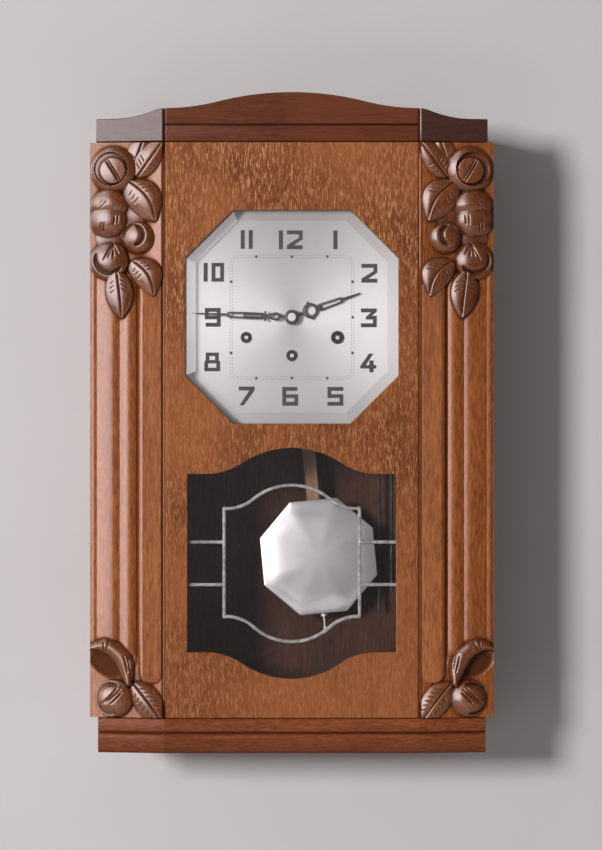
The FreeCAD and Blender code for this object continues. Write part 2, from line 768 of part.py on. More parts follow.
def spokes(spot, rim, hub, depth):
    """The four openings between a wheel's arms."""
    arm = 1.3
    steps = 6
    openings = []
    for quarter in range(4):
        start = quarter * math.pi / 2
        points = []
        for radius, order in ((rim, range(steps + 1)), (hub, range(steps, -1, -1))):
            margin = math.asin(arm / radius)
            width = math.pi / 2 - 2 * margin
            points += [beyond(spot, start + margin + width * i / steps, radius) for i in order]
        openings.append(plate(points, depth))
    return openings


# Depths of the wheels between the plates and in front of them
INTERMEDIATE_DEPTH = (-98.6, -97.0)
CENTRE_DEPTH = (-96.2, -94.6)
DRUM_DEPTH = (-92.0, -70.0)
GREAT_DEPTH = (-70.0, -67.5)
THIRD_DEPTH = (-72.0, -70.8)
ESCAPE_DEPTH = (-66.0, -65.0)
CANNON_DEPTH = (-106.2, -103.2)
MINUTE_DEPTH = (-105.4, -104.0)
HOUR_PINION_DEPTH = (-109.6, -105.4)
HOUR_DEPTH = (-109.2, -107.6)
PIVOT = 1.0
ARBOR = 1.4
FINE_PIVOT = 0.7
FINE_ARBOR = 0.9
CENTRE_ARBOR = 1.2
CANNON_PIPE = 2.0
HOUR_PIPE = 3.2
WINDING_ARBOR = 3.0
PINION_SPARE = 0.4
SHAKE = 0.3
INTERMEDIATE_ARMS = (15.4, 4.6)
CENTRE_ARMS = (15.8, 4.6)
THIRD_ARMS = (12.4, 3.6)
ESCAPE_ARMS = (8.4, 3.2)
ESCAPE_TOOTH = 2.2
ESCAPE_GAP = (0.03, 0.11)
NUT_THICK = 2.6
NUT_CAP = 0.8


def spared(depth):
    """A pinion's length: its wheel's thickness with a little over at each side."""
    return (depth[0] - PINION_SPARE, depth[1] + PINION_SPARE)


def arbor_bar(spot, radius, pivot):
    """A plain arbor with a pivot at each end that runs in the plates."""
    bar = turned(spot, radius, (FRONT_PLATE[1] + SHAKE, BACK_PLATE[0] - SHAKE))
    pivots = turned(spot, pivot, (FRONT_PLATE[0] + SHAKE, BACK_PLATE[1] - SHAKE))
    return bar.fuse(pivots)


def make_train():
    """Going train from the time barrel to the escape wheel."""
    spot = INTERMEDIATE_SPOT
    wheel = wheel_for(spot, INTERMEDIATE, LOW_PINION, CENTRE, INTERMEDIATE_DEPTH)
    pinion = pinion_for(spot, LOW_PINION, GREAT, TIME_SPOT, spared(GREAT_DEPTH))
    wheel = wheel.cut(Part.makeCompound(spokes(spot, *INTERMEDIATE_ARMS, INTERMEDIATE_DEPTH)))
    bar = arbor_bar(spot, ARBOR, PIVOT)
    keep("intermediate_wheel", bar.multiFuse([wheel, pinion]).removeSplitter())
    wheel = wheel_for(CENTRE, CENTRE_TRAIN, HIGH_PINION, THIRD_SPOT, CENTRE_DEPTH)
    wheel = wheel.cut(Part.makeCompound(spokes(CENTRE, *CENTRE_ARMS, CENTRE_DEPTH)))
    pinion = pinion_for(CENTRE, LOW_PINION, INTERMEDIATE, INTERMEDIATE_SPOT, spared(INTERMEDIATE_DEPTH))
    arbor_end = MINUTE_HAND_DEPTH[0] - NUT_THICK + NUT_CAP
    bar = turned(CENTRE, CENTRE_ARBOR, (arbor_end, BACK_PLATE[1] - SHAKE))
    keep("centre_wheel", bar.multiFuse([wheel, pinion]).removeSplitter())
    spot = THIRD_SPOT
    wheel = wheel_for(spot, THIRD, HIGH_PINION, ESCAPE_SPOT, THIRD_DEPTH)
    wheel = wheel.cut(Part.makeCompound(spokes(spot, *THIRD_ARMS, THIRD_DEPTH)))
    pinion = pinion_for(spot, HIGH_PINION, CENTRE_TRAIN, CENTRE, spared(CENTRE_DEPTH))
    bar = arbor_bar(spot, FINE_ARBOR, FINE_PIVOT)
    keep("third_wheel", bar.multiFuse([wheel, pinion]).removeSplitter())
    spot = ESCAPE_SPOT
    root = ESCAPE_RADIUS - ESCAPE_TOOTH
    points = []
    for tooth in range(ESCAPE_TEETH):
        angle = 2 * math.pi * tooth / ESCAPE_TEETH
        points.append(beyond(spot, angle, ESCAPE_RADIUS))
        points += [beyond(spot, angle + turn, root) for turn in ESCAPE_GAP]
    wheel = plate(points, ESCAPE_DEPTH)
    wheel = wheel.cut(Part.makeCompound(spokes(spot, *ESCAPE_ARMS, ESCAPE_DEPTH)))
    pinion = pinion_for(spot, HIGH_PINION, THIRD, THIRD_SPOT, spared(THIRD_DEPTH))
    bar = arbor_bar(spot, FINE_ARBOR, FINE_PIVOT)
    keep("escape_wheel", bar.multiFuse([wheel, pinion]).removeSplitter())


def make_barrels():
    """Three spring barrels with their great wheels, coiled springs and winding arbors."""
    drum_radius = 19.0
    wall = 1.2
    square = 1.6
    collar = 2.0
    barrels = {"time": TIME_SPOT, "strike": STRIKE_SPOT, "chime": CHIME_SPOT}
    for name, spot in barrels.items():
        aim = INTERMEDIATE_SPOT if name == "time" else CENTRE
        wheel = wheel_for(spot, GREAT, LOW_PINION, aim, GREAT_DEPTH)
        drum = turned(spot, drum_radius, DRUM_DEPTH)
        hollow = (DRUM_DEPTH[0] + wall, DRUM_DEPTH[1] - wall)
        drum = drum.fuse(wheel).cut(turned(spot, drum_radius - wall, hollow))
        drum = drum.cut(turned(spot, WINDING_ARBOR + RUNNING, (DRUM_DEPTH[0], GREAT_DEPTH[1])))
        coil = (hollow[0] + wall, hollow[1] - wall)
        spring = turned(spot, drum_radius - 2 * wall, coil)
        spring = spring.cut(turned(spot, 2 * WINDING_ARBOR, coil))
        keep(name + "_barrel", drum.removeSplitter(), spring)
        bar = turned(spot, WINDING_ARBOR, (FRONT_PLATE[0] - collar, BACK_PLATE[1]))
        corners = circle_points(spot[0], spot[1], square * math.sqrt(2), 4, math.pi / 4)
        end = plate(corners, (DIAL_BACK, FRONT_PLATE[0]))
        keep(name + "_winding_arbor", bar.fuse(end))


def make_motion_work():
    """Cannon pinion, minute wheel and hour wheel behind the dial."""
    pipe = turned(CENTRE, CANNON_PIPE, (MINUTE_HAND_DEPTH[0], CANNON_DEPTH[1]))
    teeth = pinion_for(CENTRE, CANNON_TEETH, (MINUTE_TEETH, MINUTE_MODULE), MINUTE_SPOT, CANNON_DEPTH)
    cannon = pipe.fuse(teeth).cut(turned(CENTRE, CENTRE_ARBOR, (MINUTE_HAND_DEPTH[0], CANNON_DEPTH[1])))
    keep("cannon_pinion", cannon.removeSplitter())
    wheel = wheel_for(MINUTE_SPOT, (MINUTE_TEETH, MINUTE_MODULE), CANNON_TEETH, CENTRE, MINUTE_DEPTH)
    hour = (HOUR_TEETH, HOUR_MODULE)
    pinion = pinion_for(MINUTE_SPOT, HOUR_PINION, hour, CENTRE, HOUR_PINION_DEPTH)
    hole = turned(MINUTE_SPOT, PIVOT + RUNNING, (HOUR_PINION_DEPTH[0], FRONT_PLATE[0]))
    keep("minute_wheel", wheel.fuse(pinion).cut(hole).removeSplitter())
    wheel = wheel_for(CENTRE, hour, HOUR_PINION, MINUTE_SPOT, HOUR_DEPTH)
    pipe = turned(CENTRE, HOUR_PIPE, (HOUR_HAND_DEPTH[0], HOUR_DEPTH[1]))
    hole = turned(CENTRE, CANNON_PIPE + RUNNING, (HOUR_HAND_DEPTH[0], HOUR_DEPTH[1]))
    keep("hour_wheel", wheel.fuse(pipe).cut(hole).removeSplitter())


def make_plates():
    """Movement plates, pillars and the stud of the minute wheel."""
    top = CENTRE_Z + PLATE_RISE
    bottom = CENTRE_Z - PLATE_DROP
    front = block((-PLATE_HALF, PLATE_HALF), FRONT_PLATE, (bottom, top))
    back = block((-PLATE_HALF, PLATE_HALF), BACK_PLATE, (bottom, top))
    holes = [(INTERMEDIATE_SPOT, PIVOT, PIVOT)]
    holes += [(spot, FINE_PIVOT, FINE_PIVOT) for spot in (THIRD_SPOT, ESCAPE_SPOT)]
    holes += [(spot, WINDING_ARBOR, WINDING_ARBOR) for spot in (TIME_SPOT, STRIKE_SPOT, CHIME_SPOT)]
    holes.append((CENTRE, CENTRE_ARBOR, CENTRE_ARBOR))
    holes.append((PALLET_SPOT, PIVOT, ARBOR))
    for spot, front_radius, back_radius in holes:
        front = front.cut(turned(spot, front_radius + RUNNING, FRONT_PLATE))
        back = back.cut(turned(spot, back_radius + RUNNING, BACK_PLATE))
    stud_end = 0.5
    pillar_x = 62.0
    pillar_margin = 6.0
    pillar_radius = 3.0
    stud = turned(MINUTE_SPOT, PIVOT, (HOUR_PINION_DEPTH[0] - stud_end, FRONT_PLATE[0]))
    keep("front_plate", front.fuse(stud).removeSplitter())
    pillars = []
    for x in (-pillar_x, pillar_x):
        for z in (bottom + pillar_margin, top - pillar_margin):
            pillars.append(turned((x, z), pillar_radius, (FRONT_PLATE[1], BACK_PLATE[0])))
    keep("plate_pillars", *pillars)
    return back


def make_anchor():
    """Anchor on its arbor, with the crutch that takes the swing to the pendulum rod."""
    hub_radius = 3.2
    pallet_radius = ESCAPE_RADIUS + ESCAPE_TOOTH
    elbow_turn = math.radians(52.0)
    elbow_rise = 1.5
    toe_turn = math.radians(62.0)
    arm_widths = (4.0, 2.6, 1.2)
    crutch = (-51.0, -49.0)
    crutch_drop = 46.0
    crutch_width = 3.0
    fork = 8.4
    fork_half = 2.0
    prong = 1.6
    bar = turned(PALLET_SPOT, ARBOR, (FRONT_PLATE[1] + SHAKE, crutch[1]))
    pivot = turned(PALLET_SPOT, PIVOT, (FRONT_PLATE[0] + SHAKE, FRONT_PLATE[1] + SHAKE))
    hub = turned(PALLET_SPOT, hub_radius, ESCAPE_DEPTH)
    back = direction(ESCAPE_SPOT, PALLET_SPOT)
    solids = [pivot, hub]
    for side in (-1, 1):
        elbow = beyond(ESCAPE_SPOT, back + side * elbow_turn, pallet_radius + elbow_rise)
        toe = beyond(ESCAPE_SPOT, back + side * toe_turn, pallet_radius)
        solids.append(strip(PALLET_SPOT, elbow, arm_widths[0], arm_widths[1], ESCAPE_DEPTH))
        solids.append(strip(elbow, toe, arm_widths[1], arm_widths[2], ESCAPE_DEPTH))
    low = (PALLET_SPOT[0], PALLET_SPOT[1] - crutch_drop)
    fork_z = (low[1] - fork_half, low[1] + fork_half)
    solids.append(turned(PALLET_SPOT, hub_radius, crutch))
    solids.append(strip(PALLET_SPOT, low, crutch_width, crutch_width, crutch))
    solids.append(block((-fork, fork), crutch, fork_z))
    for x in ((-fork, -fork + prong), (fork - prong, fork)):
        solids.append(block(x, (crutch[0], ROD_DEPTH[1]), fork_z))
    anchor = bar.multiFuse(solids).removeSplitter()
    anchor.rotate(Vector(0, 0, PALLET_Z), Vector(0, 1, 0), -PENDULUM_SWING)
    keep("anchor", anchor)


def make_pendulum():
    """Suspension spring, wooden rod, eight-sided bob and rating nut, swung to the right."""
    spring_y = (-37.7, -37.3)
    spring_half = 4.0
    spring_root = 8.0
    pin_play = 0.4
    top = PALLET_Z + spring_half
    rod_top = PALLET_Z - 16.0
    rod_end = -6.0
    rod_half = 6.0
    bob_edge = -46.0
    bob_bevel = 2.0
    bob_z = PALLET_Z - PENDULUM_LENGTH
    bob_bottom = bob_z - BOB_HALF
    screw_size = (1.0, 28.0, 14.0)
    nut_size = (3.2, 3.0, 3.1)
    knob_size = (1.9, 2.0, 15.0)
    spring = block((-spring_half, spring_half), spring_y, (rod_top - spring_root, top))
    spring = spring.cut(turned((0.0, PALLET_Z), PIVOT + pin_play, spring_y))
    rod = block((-rod_half, rod_half), ROD_DEPTH, (bob_bottom - rod_end, rod_top))
    rod = rod.cut(block((-rod_half, rod_half), spring_y, (rod_top - spring_root, rod_top)))
    corner = BOB_HALF / math.cos(math.pi / 8)
    wires = []
    for radius, y in ((corner, bob_edge), (corner - bob_bevel, BOB_DEPTH[0])):
        points = circle_points(0, bob_z, radius, 8, math.pi / 8)
        wires.append(Part.makePolygon([Vector(x, y, z) for x, z in points + points[:1]]))
    dome = Part.makeLoft(wires, True, True)
    disc = plate(circle_points(0, bob_z, corner, 8, math.pi / 8), (bob_edge, BOB_DEPTH[1]))
    bob = disc.fuse(dome).removeSplitter()
    screw_y = sum(ROD_DEPTH) / 2
    screw, nut, knob = [
        Part.makeCylinder(radius, length, Vector(0, screw_y, bob_bottom - drop))
        for radius, length, drop in (screw_size, nut_size, knob_size)
    ]
    rod = rod.cut(screw)
    pieces = {
        "suspension_spring": spring,
        "pendulum_rod": rod,
        "pendulum_bob": bob,
        "rating_nut": screw.multiFuse([nut, knob]).removeSplitter(),
    }
    for name, shape in pieces.items():
        shape.rotate(Vector(0, 0, PALLET_Z), Vector(0, 1, 0), -PENDULUM_SWING)
        keep(name, shape)


def make_suspension_cock():
    """Bracket on the back plate with two cheeks and a pin for the suspension spring."""
    half = 9.0
    cheek = 3.0
    cheek_drop = 5.0
    slot = (-38.7, -36.3)
    arm_end = -32.0
    z = (PALLET_Z + 6.0, PALLET_Z + 14.0)
    arm = block((-half, half), (BACK_PLATE[1], arm_end), z)
    cheeks = []
    for y in ((slot[0] - cheek, slot[0]), (slot[1], slot[1] + cheek)):
        cheeks.append(block((-half, half), y, (PALLET_Z - cheek_drop, z[0])))
    pin = turned((0.0, PALLET_Z), PIVOT, (slot[0] - cheek, slot[1] + cheek))
    cock = arm.multiFuse(cheeks + [pin]).removeSplitter()
    keep("suspension_cock", cock)


# Dial and hands
def hand(outline_parts, holes, depth, bore, angle):
    """A hand cut from flat strip: parts joined, openings pierced, turned to its place on the dial."""
    blade = outline_parts[0].multiFuse(outline_parts[1:])
    for hole in holes:
        blade = blade.cut(hole)
    blade = blade.cut(turned(CENTRE, bore, depth)).removeSplitter()
    blade.rotate(Vector(0, 0, CENTRE_Z), Vector(0, 1, 0), angle)
    return blade


def up(rise):
    """A point straight above the hands' centre."""
    return (0.0, CENTRE_Z + rise)


# Hands: hub, round swellings, tapering strips and openings, by distance from the hands' centre
HUB = 7.0
HAND_NUT = 3.8
MINUTE_RING = (18.0, 4.4, 2.6)
MINUTE_STRIPS = (
    (5.0, 28.0, 3.4, 3.0),
    (25.0, 34.0, 2.0, 6.4),
    (34.0, 60.0, 6.4, 3.2),
    (59.0, 94.0, 2.2, 0.8),
)
MINUTE_SLOT = (33.0, 57.0, 3.4, 1.2)
HOUR_RING = (18.7, 6.7, 4.0)
HOUR_STRIPS = (
    (5.0, 13.0, 3.6, 3.6),
    (24.0, 31.0, 3.0, 7.0),
    (31.0, 51.0, 7.0, 3.4),
    (50.0, 68.0, 2.4, 0.8),
)
HOUR_SLOT = (31.0, 48.0, 3.8, 1.4)


def pierced_hand(ring, strips, slot, depth, bore, angle):
    """A hand from its ring, its strips and its slot."""
    rise, outer, inner = ring
    parts = [turned(CENTRE, HUB, depth), turned(up(rise), outer, depth)]
    parts += [strip(up(low), up(high), wide, narrow, depth) for low, high, wide, narrow in strips]
    low, high, wide, narrow = slot
    holes = [turned(up(rise), inner, depth), strip(up(low), up(high), wide, narrow, depth)]
    return hand(parts, holes, depth, bore, angle)


def make_hands():
    """Pierced minute and hour hands and the cap nut that holds them."""
    minute = (MINUTE_RING, MINUTE_STRIPS, MINUTE_SLOT)
    hour = (HOUR_RING, HOUR_STRIPS, HOUR_SLOT)
    keep("minute_hand", pierced_hand(*minute, MINUTE_HAND_DEPTH, CANNON_PIPE, MINUTE_ANGLE))
    keep("hour_hand", pierced_hand(*hour, HOUR_HAND_DEPTH, HOUR_PIPE, HOUR_ANGLE))
    nut_depth = (MINUTE_HAND_DEPTH[0] - NUT_THICK, MINUTE_HAND_DEPTH[0])
    thread_depth = (nut_depth[0] + NUT_CAP, nut_depth[1])
    nut = turned(CENTRE, HAND_NUT, nut_depth).cut(turned(CENTRE, CENTRE_ARBOR, thread_depth))
    keep("hand_nut", nut)


# Numerals: height, width, stroke, and the bars of each figure
FIGURE_HEIGHT = 17.5
FIGURE_WIDTH = 14.8
STROKE = 3.6
FIGURE_GAP = 3.6
INK = 0.15
FIGURE_BARS = {
    "0": "top bottom upper_left upper_right lower_left lower_right",
    "1": "upper_right lower_right",
    "2": "top upper_right middle lower_left bottom",
    "3": "top upper_right middle lower_right bottom",
    "4": "upper_left middle upper_right lower_right",
    "5": "top upper_left middle lower_right bottom",
    "6": "top upper_left middle lower_left lower_right bottom",
    "7": "top upper_right lower_right",
    "8": "top bottom middle upper_left upper_right lower_left lower_right",
    "9": "top bottom middle upper_left upper_right lower_right",
}
NUMERAL_COLUMN = (0.0, 42.0, 74.0)
NUMERAL_ROW = (74.0, 74.0, 42.0, 0.0, -42.0, -74.0, -74.0)


def figure(sign, x, z):
    """One squared figure of flat bars, centred at x, z."""
    w, h, s = FIGURE_WIDTH / 2, FIGURE_HEIGHT / 2, STROKE
    bars = {
        "top": ((-w, w), (h - s, h)),
        "middle": ((-w, w), (-s / 2, s / 2)),
        "bottom": ((-w, w), (-h, s - h)),
        "upper_left": ((-w, s - w), (-s / 2, h)),
        "upper_right": ((w - s, w), (-s / 2, h)),
        "lower_left": ((-w, s - w), (-h, s / 2)),
        "lower_right": ((w - s, w), (-h, s / 2)),
    }
    shift = (STROKE - FIGURE_WIDTH) / 2 if sign == "1" else 0.0
    ink = (DIAL_FRONT - INK, DIAL_FRONT)
    solids = []
    for name in FIGURE_BARS[sign].split():
        across, along = bars[name]
        wide = (across[0] + x + shift, across[1] + x + shift)
        solids.append(block(wide, ink, (along[0] + z, along[1] + z)))
    return solids[0].multiFuse(solids[1:]).removeSplitter()


def numeral_place(hour):
    """Where an hour's numeral stands, on a square round the hands' centre."""
    step = hour % 12
    from_top = min(step, 12 - step)
    column = NUMERAL_COLUMN[min(from_top, 6 - from_top, 2)]
    row = NUMERAL_ROW[from_top]
    return (column if step < 6 else -column, CENTRE_Z + row)


def make_dial():
    """Silvered dial plate, the feet behind it, numerals and winding-hole grommets."""
    winding = ((TIME_SPOT, 5.3), (STRIKE_SPOT, 5.3), (CHIME_SPOT, 6.2))
    hole = 4.6
    clear = 3.8
    proud = 0.8
    pipe_play = 1.0
    foot_x = 55.0
    foot_rises = (-60.0, 48.0)
    foot_radius = 2.5
    half = DIAL_PLATE_HALF
    dial = block((-half, half), (DIAL_FRONT, DIAL_BACK), (CENTRE_Z - half, CENTRE_Z + half))
    dial = dial.cut(turned(CENTRE, HOUR_PIPE + pipe_play, (DIAL_FRONT, DIAL_BACK)))
    for spot, _ in winding:
        dial = dial.cut(turned(spot, hole, (DIAL_FRONT, DIAL_BACK)))
    keep("dial_plate", dial)
    feet = []
    for x in (-foot_x, foot_x):
        for rise in foot_rises:
            feet.append(turned((x, CENTRE_Z + rise), foot_radius, (DIAL_BACK, FRONT_PLATE[0])))
    keep("dial_feet", *feet)
    grommets = []
    for spot, ring in winding:
        flange = turned(spot, ring, (DIAL_FRONT - proud, DIAL_FRONT))
        sleeve = turned(spot, hole, (DIAL_FRONT, DIAL_BACK))
        hole_space = turned(spot, clear, (DIAL_FRONT - proud, DIAL_BACK))
        grommets.append(flange.fuse(sleeve).cut(hole_space).removeSplitter())
    keep("winding_grommets", *grommets)
    figures = []
    for hour in range(1, 13):
        x, z = numeral_place(hour)
        signs = str(hour)
        widths = [STROKE if sign == "1" else FIGURE_WIDTH for sign in signs]
        left = x - (sum(widths) + FIGURE_GAP * (len(signs) - 1)) / 2
        for sign, width in zip(signs, widths):
            figures.append(figure(sign, left + width / 2, z))
            left += width + FIGURE_GAP
    keep("dial_numerals", *figures)


# Chime
def make_chime():
    """Gong block with hanging rods, the hammer frame and its hammers."""
    block_margin = 8.0
    block_depth = 12.0
    arbor = 1.5
    hub = 3.2
    hub_half = 3.0
    ear = 3.0
    ear_reach = 4.0
    frame_half = 5.0
    shelf_start = 48.0
    arm_half = (1.0, 1.5)
    head_radius = 4.0
    head_back = 5.0
    rod_clearance = 1.4
    x = (ROD_XS[0] - block_margin, ROD_XS[-1] + block_margin)
    keep("gong_block", block(x, (ROD_Y - block_depth, -BACK_BOARD), GONG_BLOCK_Z))
    rods = []
    for place, length in zip(ROD_XS, ROD_LENGTHS):
        start = Vector(place, ROD_Y, GONG_BLOCK_Z[0])
        rods.append(Part.makeCylinder(ROD_RADIUS, length, start, Vector(0, 0, -1)))
    keep("gong_rods", *rods)
    z = (HAMMER_Z - frame_half, HAMMER_Z + frame_half)
    shelf = block((shelf_start, x[1]), (BACK_PLATE[1], BACK_PLATE[1] + ear), z)
    solids = []
    for low in (x[0] - ear, x[1] - ear):
        solids.append(block((low, low + ear), (BACK_PLATE[1], HAMMER_Y + ear_reach), z))
    along = Vector(1, 0, 0)
    arbor_start = Vector(x[0] - ear / 2, HAMMER_Y, HAMMER_Z)
    solids.append(Part.makeCylinder(arbor, x[1] - x[0], arbor_start, along))
    keep("hammer_frame", shelf.multiFuse(solids).removeSplitter())
    head_end = ROD_Y - ROD_RADIUS - rod_clearance
    head_length = head_end - HAMMER_Y + head_back
    head_z = HAMMER_Z - HAMMER_ARM
    for number, place in enumerate(ROD_XS, 1):
        boss_start = Vector(place - hub_half, HAMMER_Y, HAMMER_Z)
        boss = Part.makeCylinder(hub, 2 * hub_half, boss_start, along)
        arm_x = (place - arm_half[0], place + arm_half[0])
        arm_y = (HAMMER_Y - arm_half[1], HAMMER_Y + arm_half[1])
        arm = block(arm_x, arm_y, (head_z, HAMMER_Z))
        head_start = Vector(place, HAMMER_Y - head_back, head_z)
        head = Part.makeCylinder(head_radius, head_length, head_start, Vector(0, 1, 0))
        hole = Part.makeCylinder(arbor + RUNNING, 2 * hub_half, boss_start, along)
        keep(f"hammer_{number}", boss.multiFuse([arm, head]).cut(hole).removeSplitter())


def main():
    make_crown()
    make_plinth()
    make_door_panel()
    dial_bead = make_dial_glass()
    window_bead = make_window()
    keep("glass_beads", dial_bead, window_bead)
    make_pilasters()
    make_hinges()
    plate_screws = make_box(make_hook())
    make_train()
    make_barrels()
    make_motion_work()
    back_plate = make_plates()
    for screw in plate_screws:
        back_plate = back_plate.cut(screw)
    keep("back_plate", back_plate)
    make_anchor()
    make_suspension_cock()
    make_pendulum()
    make_hands()
    make_dial()
    make_chime()
    os.makedirs("parts", exist_ok=True)
    for name, shape in PIECES.items():
        shape.exportStep(f"parts/{name}.step")
        print(name, len(shape.Solids), shape.isValid(), round(shape.Volume))
    spots = {
        "intermediate": INTERMEDIATE_SPOT,
        "third": THIRD_SPOT,
        "escape": ESCAPE_SPOT,
        "minute": MINUTE_SPOT,
    }
    for name, spot in spots.items():
        print(name, [round(value, 6) for value in spot])


main()
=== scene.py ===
# %% [markdown]
# # Wall clock with carved sprays
# A chiming wall clock in a wooden case: a door with an eight-sided dial glass above and a leaded window
# below, a crown board over it and a plinth moulding under it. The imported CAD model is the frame. Its pieces
# that already have the right shape keep it and get a finish here. The pieces whose charm is in the
# handwork, such as the carvings, the reeded pilasters, the lead and the hands, are made again in finer
# meshes in the same place.

# %% Load the frame
import json
import math

import bmesh
import bpy
import numpy as np
from mathutils import Matrix, Vector

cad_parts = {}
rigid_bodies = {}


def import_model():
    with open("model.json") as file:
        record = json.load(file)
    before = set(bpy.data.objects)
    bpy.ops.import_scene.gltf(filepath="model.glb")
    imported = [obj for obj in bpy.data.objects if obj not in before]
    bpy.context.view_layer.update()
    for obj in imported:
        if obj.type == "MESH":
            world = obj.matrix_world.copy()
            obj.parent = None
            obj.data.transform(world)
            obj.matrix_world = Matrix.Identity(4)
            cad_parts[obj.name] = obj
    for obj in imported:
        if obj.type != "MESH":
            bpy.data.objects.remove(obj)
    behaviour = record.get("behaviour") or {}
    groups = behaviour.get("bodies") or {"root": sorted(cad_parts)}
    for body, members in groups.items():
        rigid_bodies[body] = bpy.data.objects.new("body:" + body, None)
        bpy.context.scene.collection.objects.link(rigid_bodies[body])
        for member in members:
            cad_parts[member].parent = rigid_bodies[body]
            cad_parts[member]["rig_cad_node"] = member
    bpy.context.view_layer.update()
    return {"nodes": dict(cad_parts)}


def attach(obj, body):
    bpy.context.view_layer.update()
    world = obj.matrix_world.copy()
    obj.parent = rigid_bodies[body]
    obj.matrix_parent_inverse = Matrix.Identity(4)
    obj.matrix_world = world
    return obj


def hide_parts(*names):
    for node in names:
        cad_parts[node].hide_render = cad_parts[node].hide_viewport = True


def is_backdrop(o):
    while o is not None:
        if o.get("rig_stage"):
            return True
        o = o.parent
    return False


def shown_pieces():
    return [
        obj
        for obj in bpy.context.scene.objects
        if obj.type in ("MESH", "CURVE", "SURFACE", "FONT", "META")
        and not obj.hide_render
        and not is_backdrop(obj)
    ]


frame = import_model()
MM = 0.001

# %% [markdown]
# ## Camera
# The clock was seen straight on, from a little under three metres. A long lens keeps the sides of the case
# nearly parallel. The size of one picture point on the door's front sets the lens, so the clock fills the
# frame as it should.

# %% Camera
DOOR_FRONT = -146.0
POINT_MM = 0.9366
PICTURE_HEIGHT = 850
VIEW_DISTANCE = 2700.0
VIEW_CENTRE = (8.6, -225.1)
SENSOR = 24.0
scene = bpy.context.scene
camera_data = bpy.data.cameras.new("camera")
camera_data.sensor_fit = "VERTICAL"
camera_data.sensor_height = SENSOR
camera_data.lens = SENSOR * VIEW_DISTANCE / (PICTURE_HEIGHT * POINT_MM)
camera = bpy.data.objects.new("camera", camera_data)
camera.location = (VIEW_CENTRE[0] * MM, (DOOR_FRONT - VIEW_DISTANCE) * MM, VIEW_CENTRE[1] * MM)
camera.rotation_euler = (math.pi / 2, 0, 0)
scene.collection.objects.link(camera)
scene.camera = camera
scene.view_settings.view_transform = "Standard"
print("lens", round(camera_data.lens, 1))

# %% [markdown]
# ## Building materials
# Every finish is a small tree of nodes. A helper that adds a node, sets it and joins it up in one call
# keeps each finish readable. All patterns read Object coordinates, which are metres in the clock's own
# frame, so a scale of 1000 gives marks about a millimetre wide.


# %% Node helper
class Nodes:
    """A node tree under construction; short names mean shader nodes, and other kinds are named in full."""

    def __init__(self, tree):
        self.tree = tree

    def feed(self, socket, value):
        if isinstance(value, bpy.types.NodeSocket):
            self.tree.links.new(value, socket)
        else:
            socket.default_value = value

    def add(self, kind, inputs=None, **settings):
        node = self.tree.nodes.new(kind if "Node" in kind else "ShaderNode" + kind)
        for key, value in settings.items():
            setattr(node, key, value)
        for key, value in (inputs or {}).items():
            self.feed(node.inputs[key], value)
        return node

    def noise(self, vector, scale, detail=2.0, roughness=0.5, distortion=0.0):
        inputs = {"Vector": vector, "Scale": scale, "Detail": detail}
        inputs.update({"Roughness": roughness, "Distortion": distortion})
        return self.add("TexNoise", inputs).outputs[0]

    def span(self, value, low, high, to_low=0.0, to_high=1.0):
        inputs = {"Value": value, "From Min": low, "From Max": high}
        inputs.update({"To Min": to_low, "To Max": to_high})
        return self.add("MapRange", inputs).outputs["Result"]

    def math(self, operation, *values):
        return self.add("Math", dict(enumerate(values)), operation=operation).outputs[0]

    def plus(self, first, *others):
        for other in others:
            first = self.math("ADD", first, other)
        return first

    def times(self, first, *others):
        for other in others:
            first = self.math("MULTIPLY", first, other)
        return first

    def blend(self, share, a, b):
        return self.add("Mix", {0: share, 6: a, 7: b}, data_type="RGBA").outputs[2]

    def ramp(self, value, *stops):
        node = self.add("ValToRGB", {"Fac": value})
        elements = node.color_ramp.elements
        while len(elements) < len(stops):
            elements.new(1.0)
        for element, (position, colour) in zip(elements, stops):
            element.position = position
            element.color = colour
        return node.outputs["Color"]


class Finish(Nodes):
    """A material with one main shader."""

    def __init__(self, name):
        self.material = bpy.data.materials.new(name)
        self.material.use_nodes = True
        super().__init__(self.material.node_tree)
        self.tree.nodes.clear()
        self.output = self.add("OutputMaterial")
        self.shader = self.add("BsdfPrincipled")
        self.feed(self.output.inputs["Surface"], self.shader.outputs["BSDF"])
        self.place = self.add("TexCoord").outputs["Object"]

    def stretched(self, scale):
        return self.add("Mapping", {"Vector": self.place, "Scale": scale}).outputs["Vector"]

    def attribute(self, name):
        return self.add("Attribute", attribute_name=name).outputs["Fac"]

    def mixed(self, share, shader, other):
        return self.add("MixShader", {0: share, 1: shader, 2: other}).outputs[0]

    def bump(self, height, strength, distance):
        inputs = {"Height": height, "Strength": strength, "Distance": distance}
        self.feed(self.shader.inputs["Normal"], self.add("Bump", inputs).outputs["Normal"])

    def surface(self, values):
        for key, value in values.items():
            self.feed(self.shader.inputs[key], value)
        return self.material


def tone(red, green, blue):
    """A colour with full alpha."""
    return (red, green, blue, 1.0)


def scaled(colour, factor):
    """The same hue, darker or lighter."""
    return tone(*(min(1.0, c * factor) for c in colour[:3]))


# %% [markdown]
# ## Wall and floor
# A clock like this hangs on a pale wall. The wall is a single sheet that is seen only from its front, so
# that views from behind still show the back of the case. The floor lies far below.

# %% Wall and floor
WALL = tone(0.615, 0.59, 0.598)
WALL_GAP = 1.5
FLOOR_Z = -1500.0
STAGE_HALF = 4000.0


def stage_sheet(name, corners, material):
    """A large flat sheet that isn't part of the clock."""
    mesh = bpy.data.meshes.new(name)
    mesh.from_pydata([[c * MM for c in corner] for corner in corners], [], [(0, 1, 2, 3)])
    mesh.materials.append(material)
    sheet = bpy.data.objects.new(name, mesh)
    scene.collection.objects.link(sheet)
    sheet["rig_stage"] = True
    return sheet


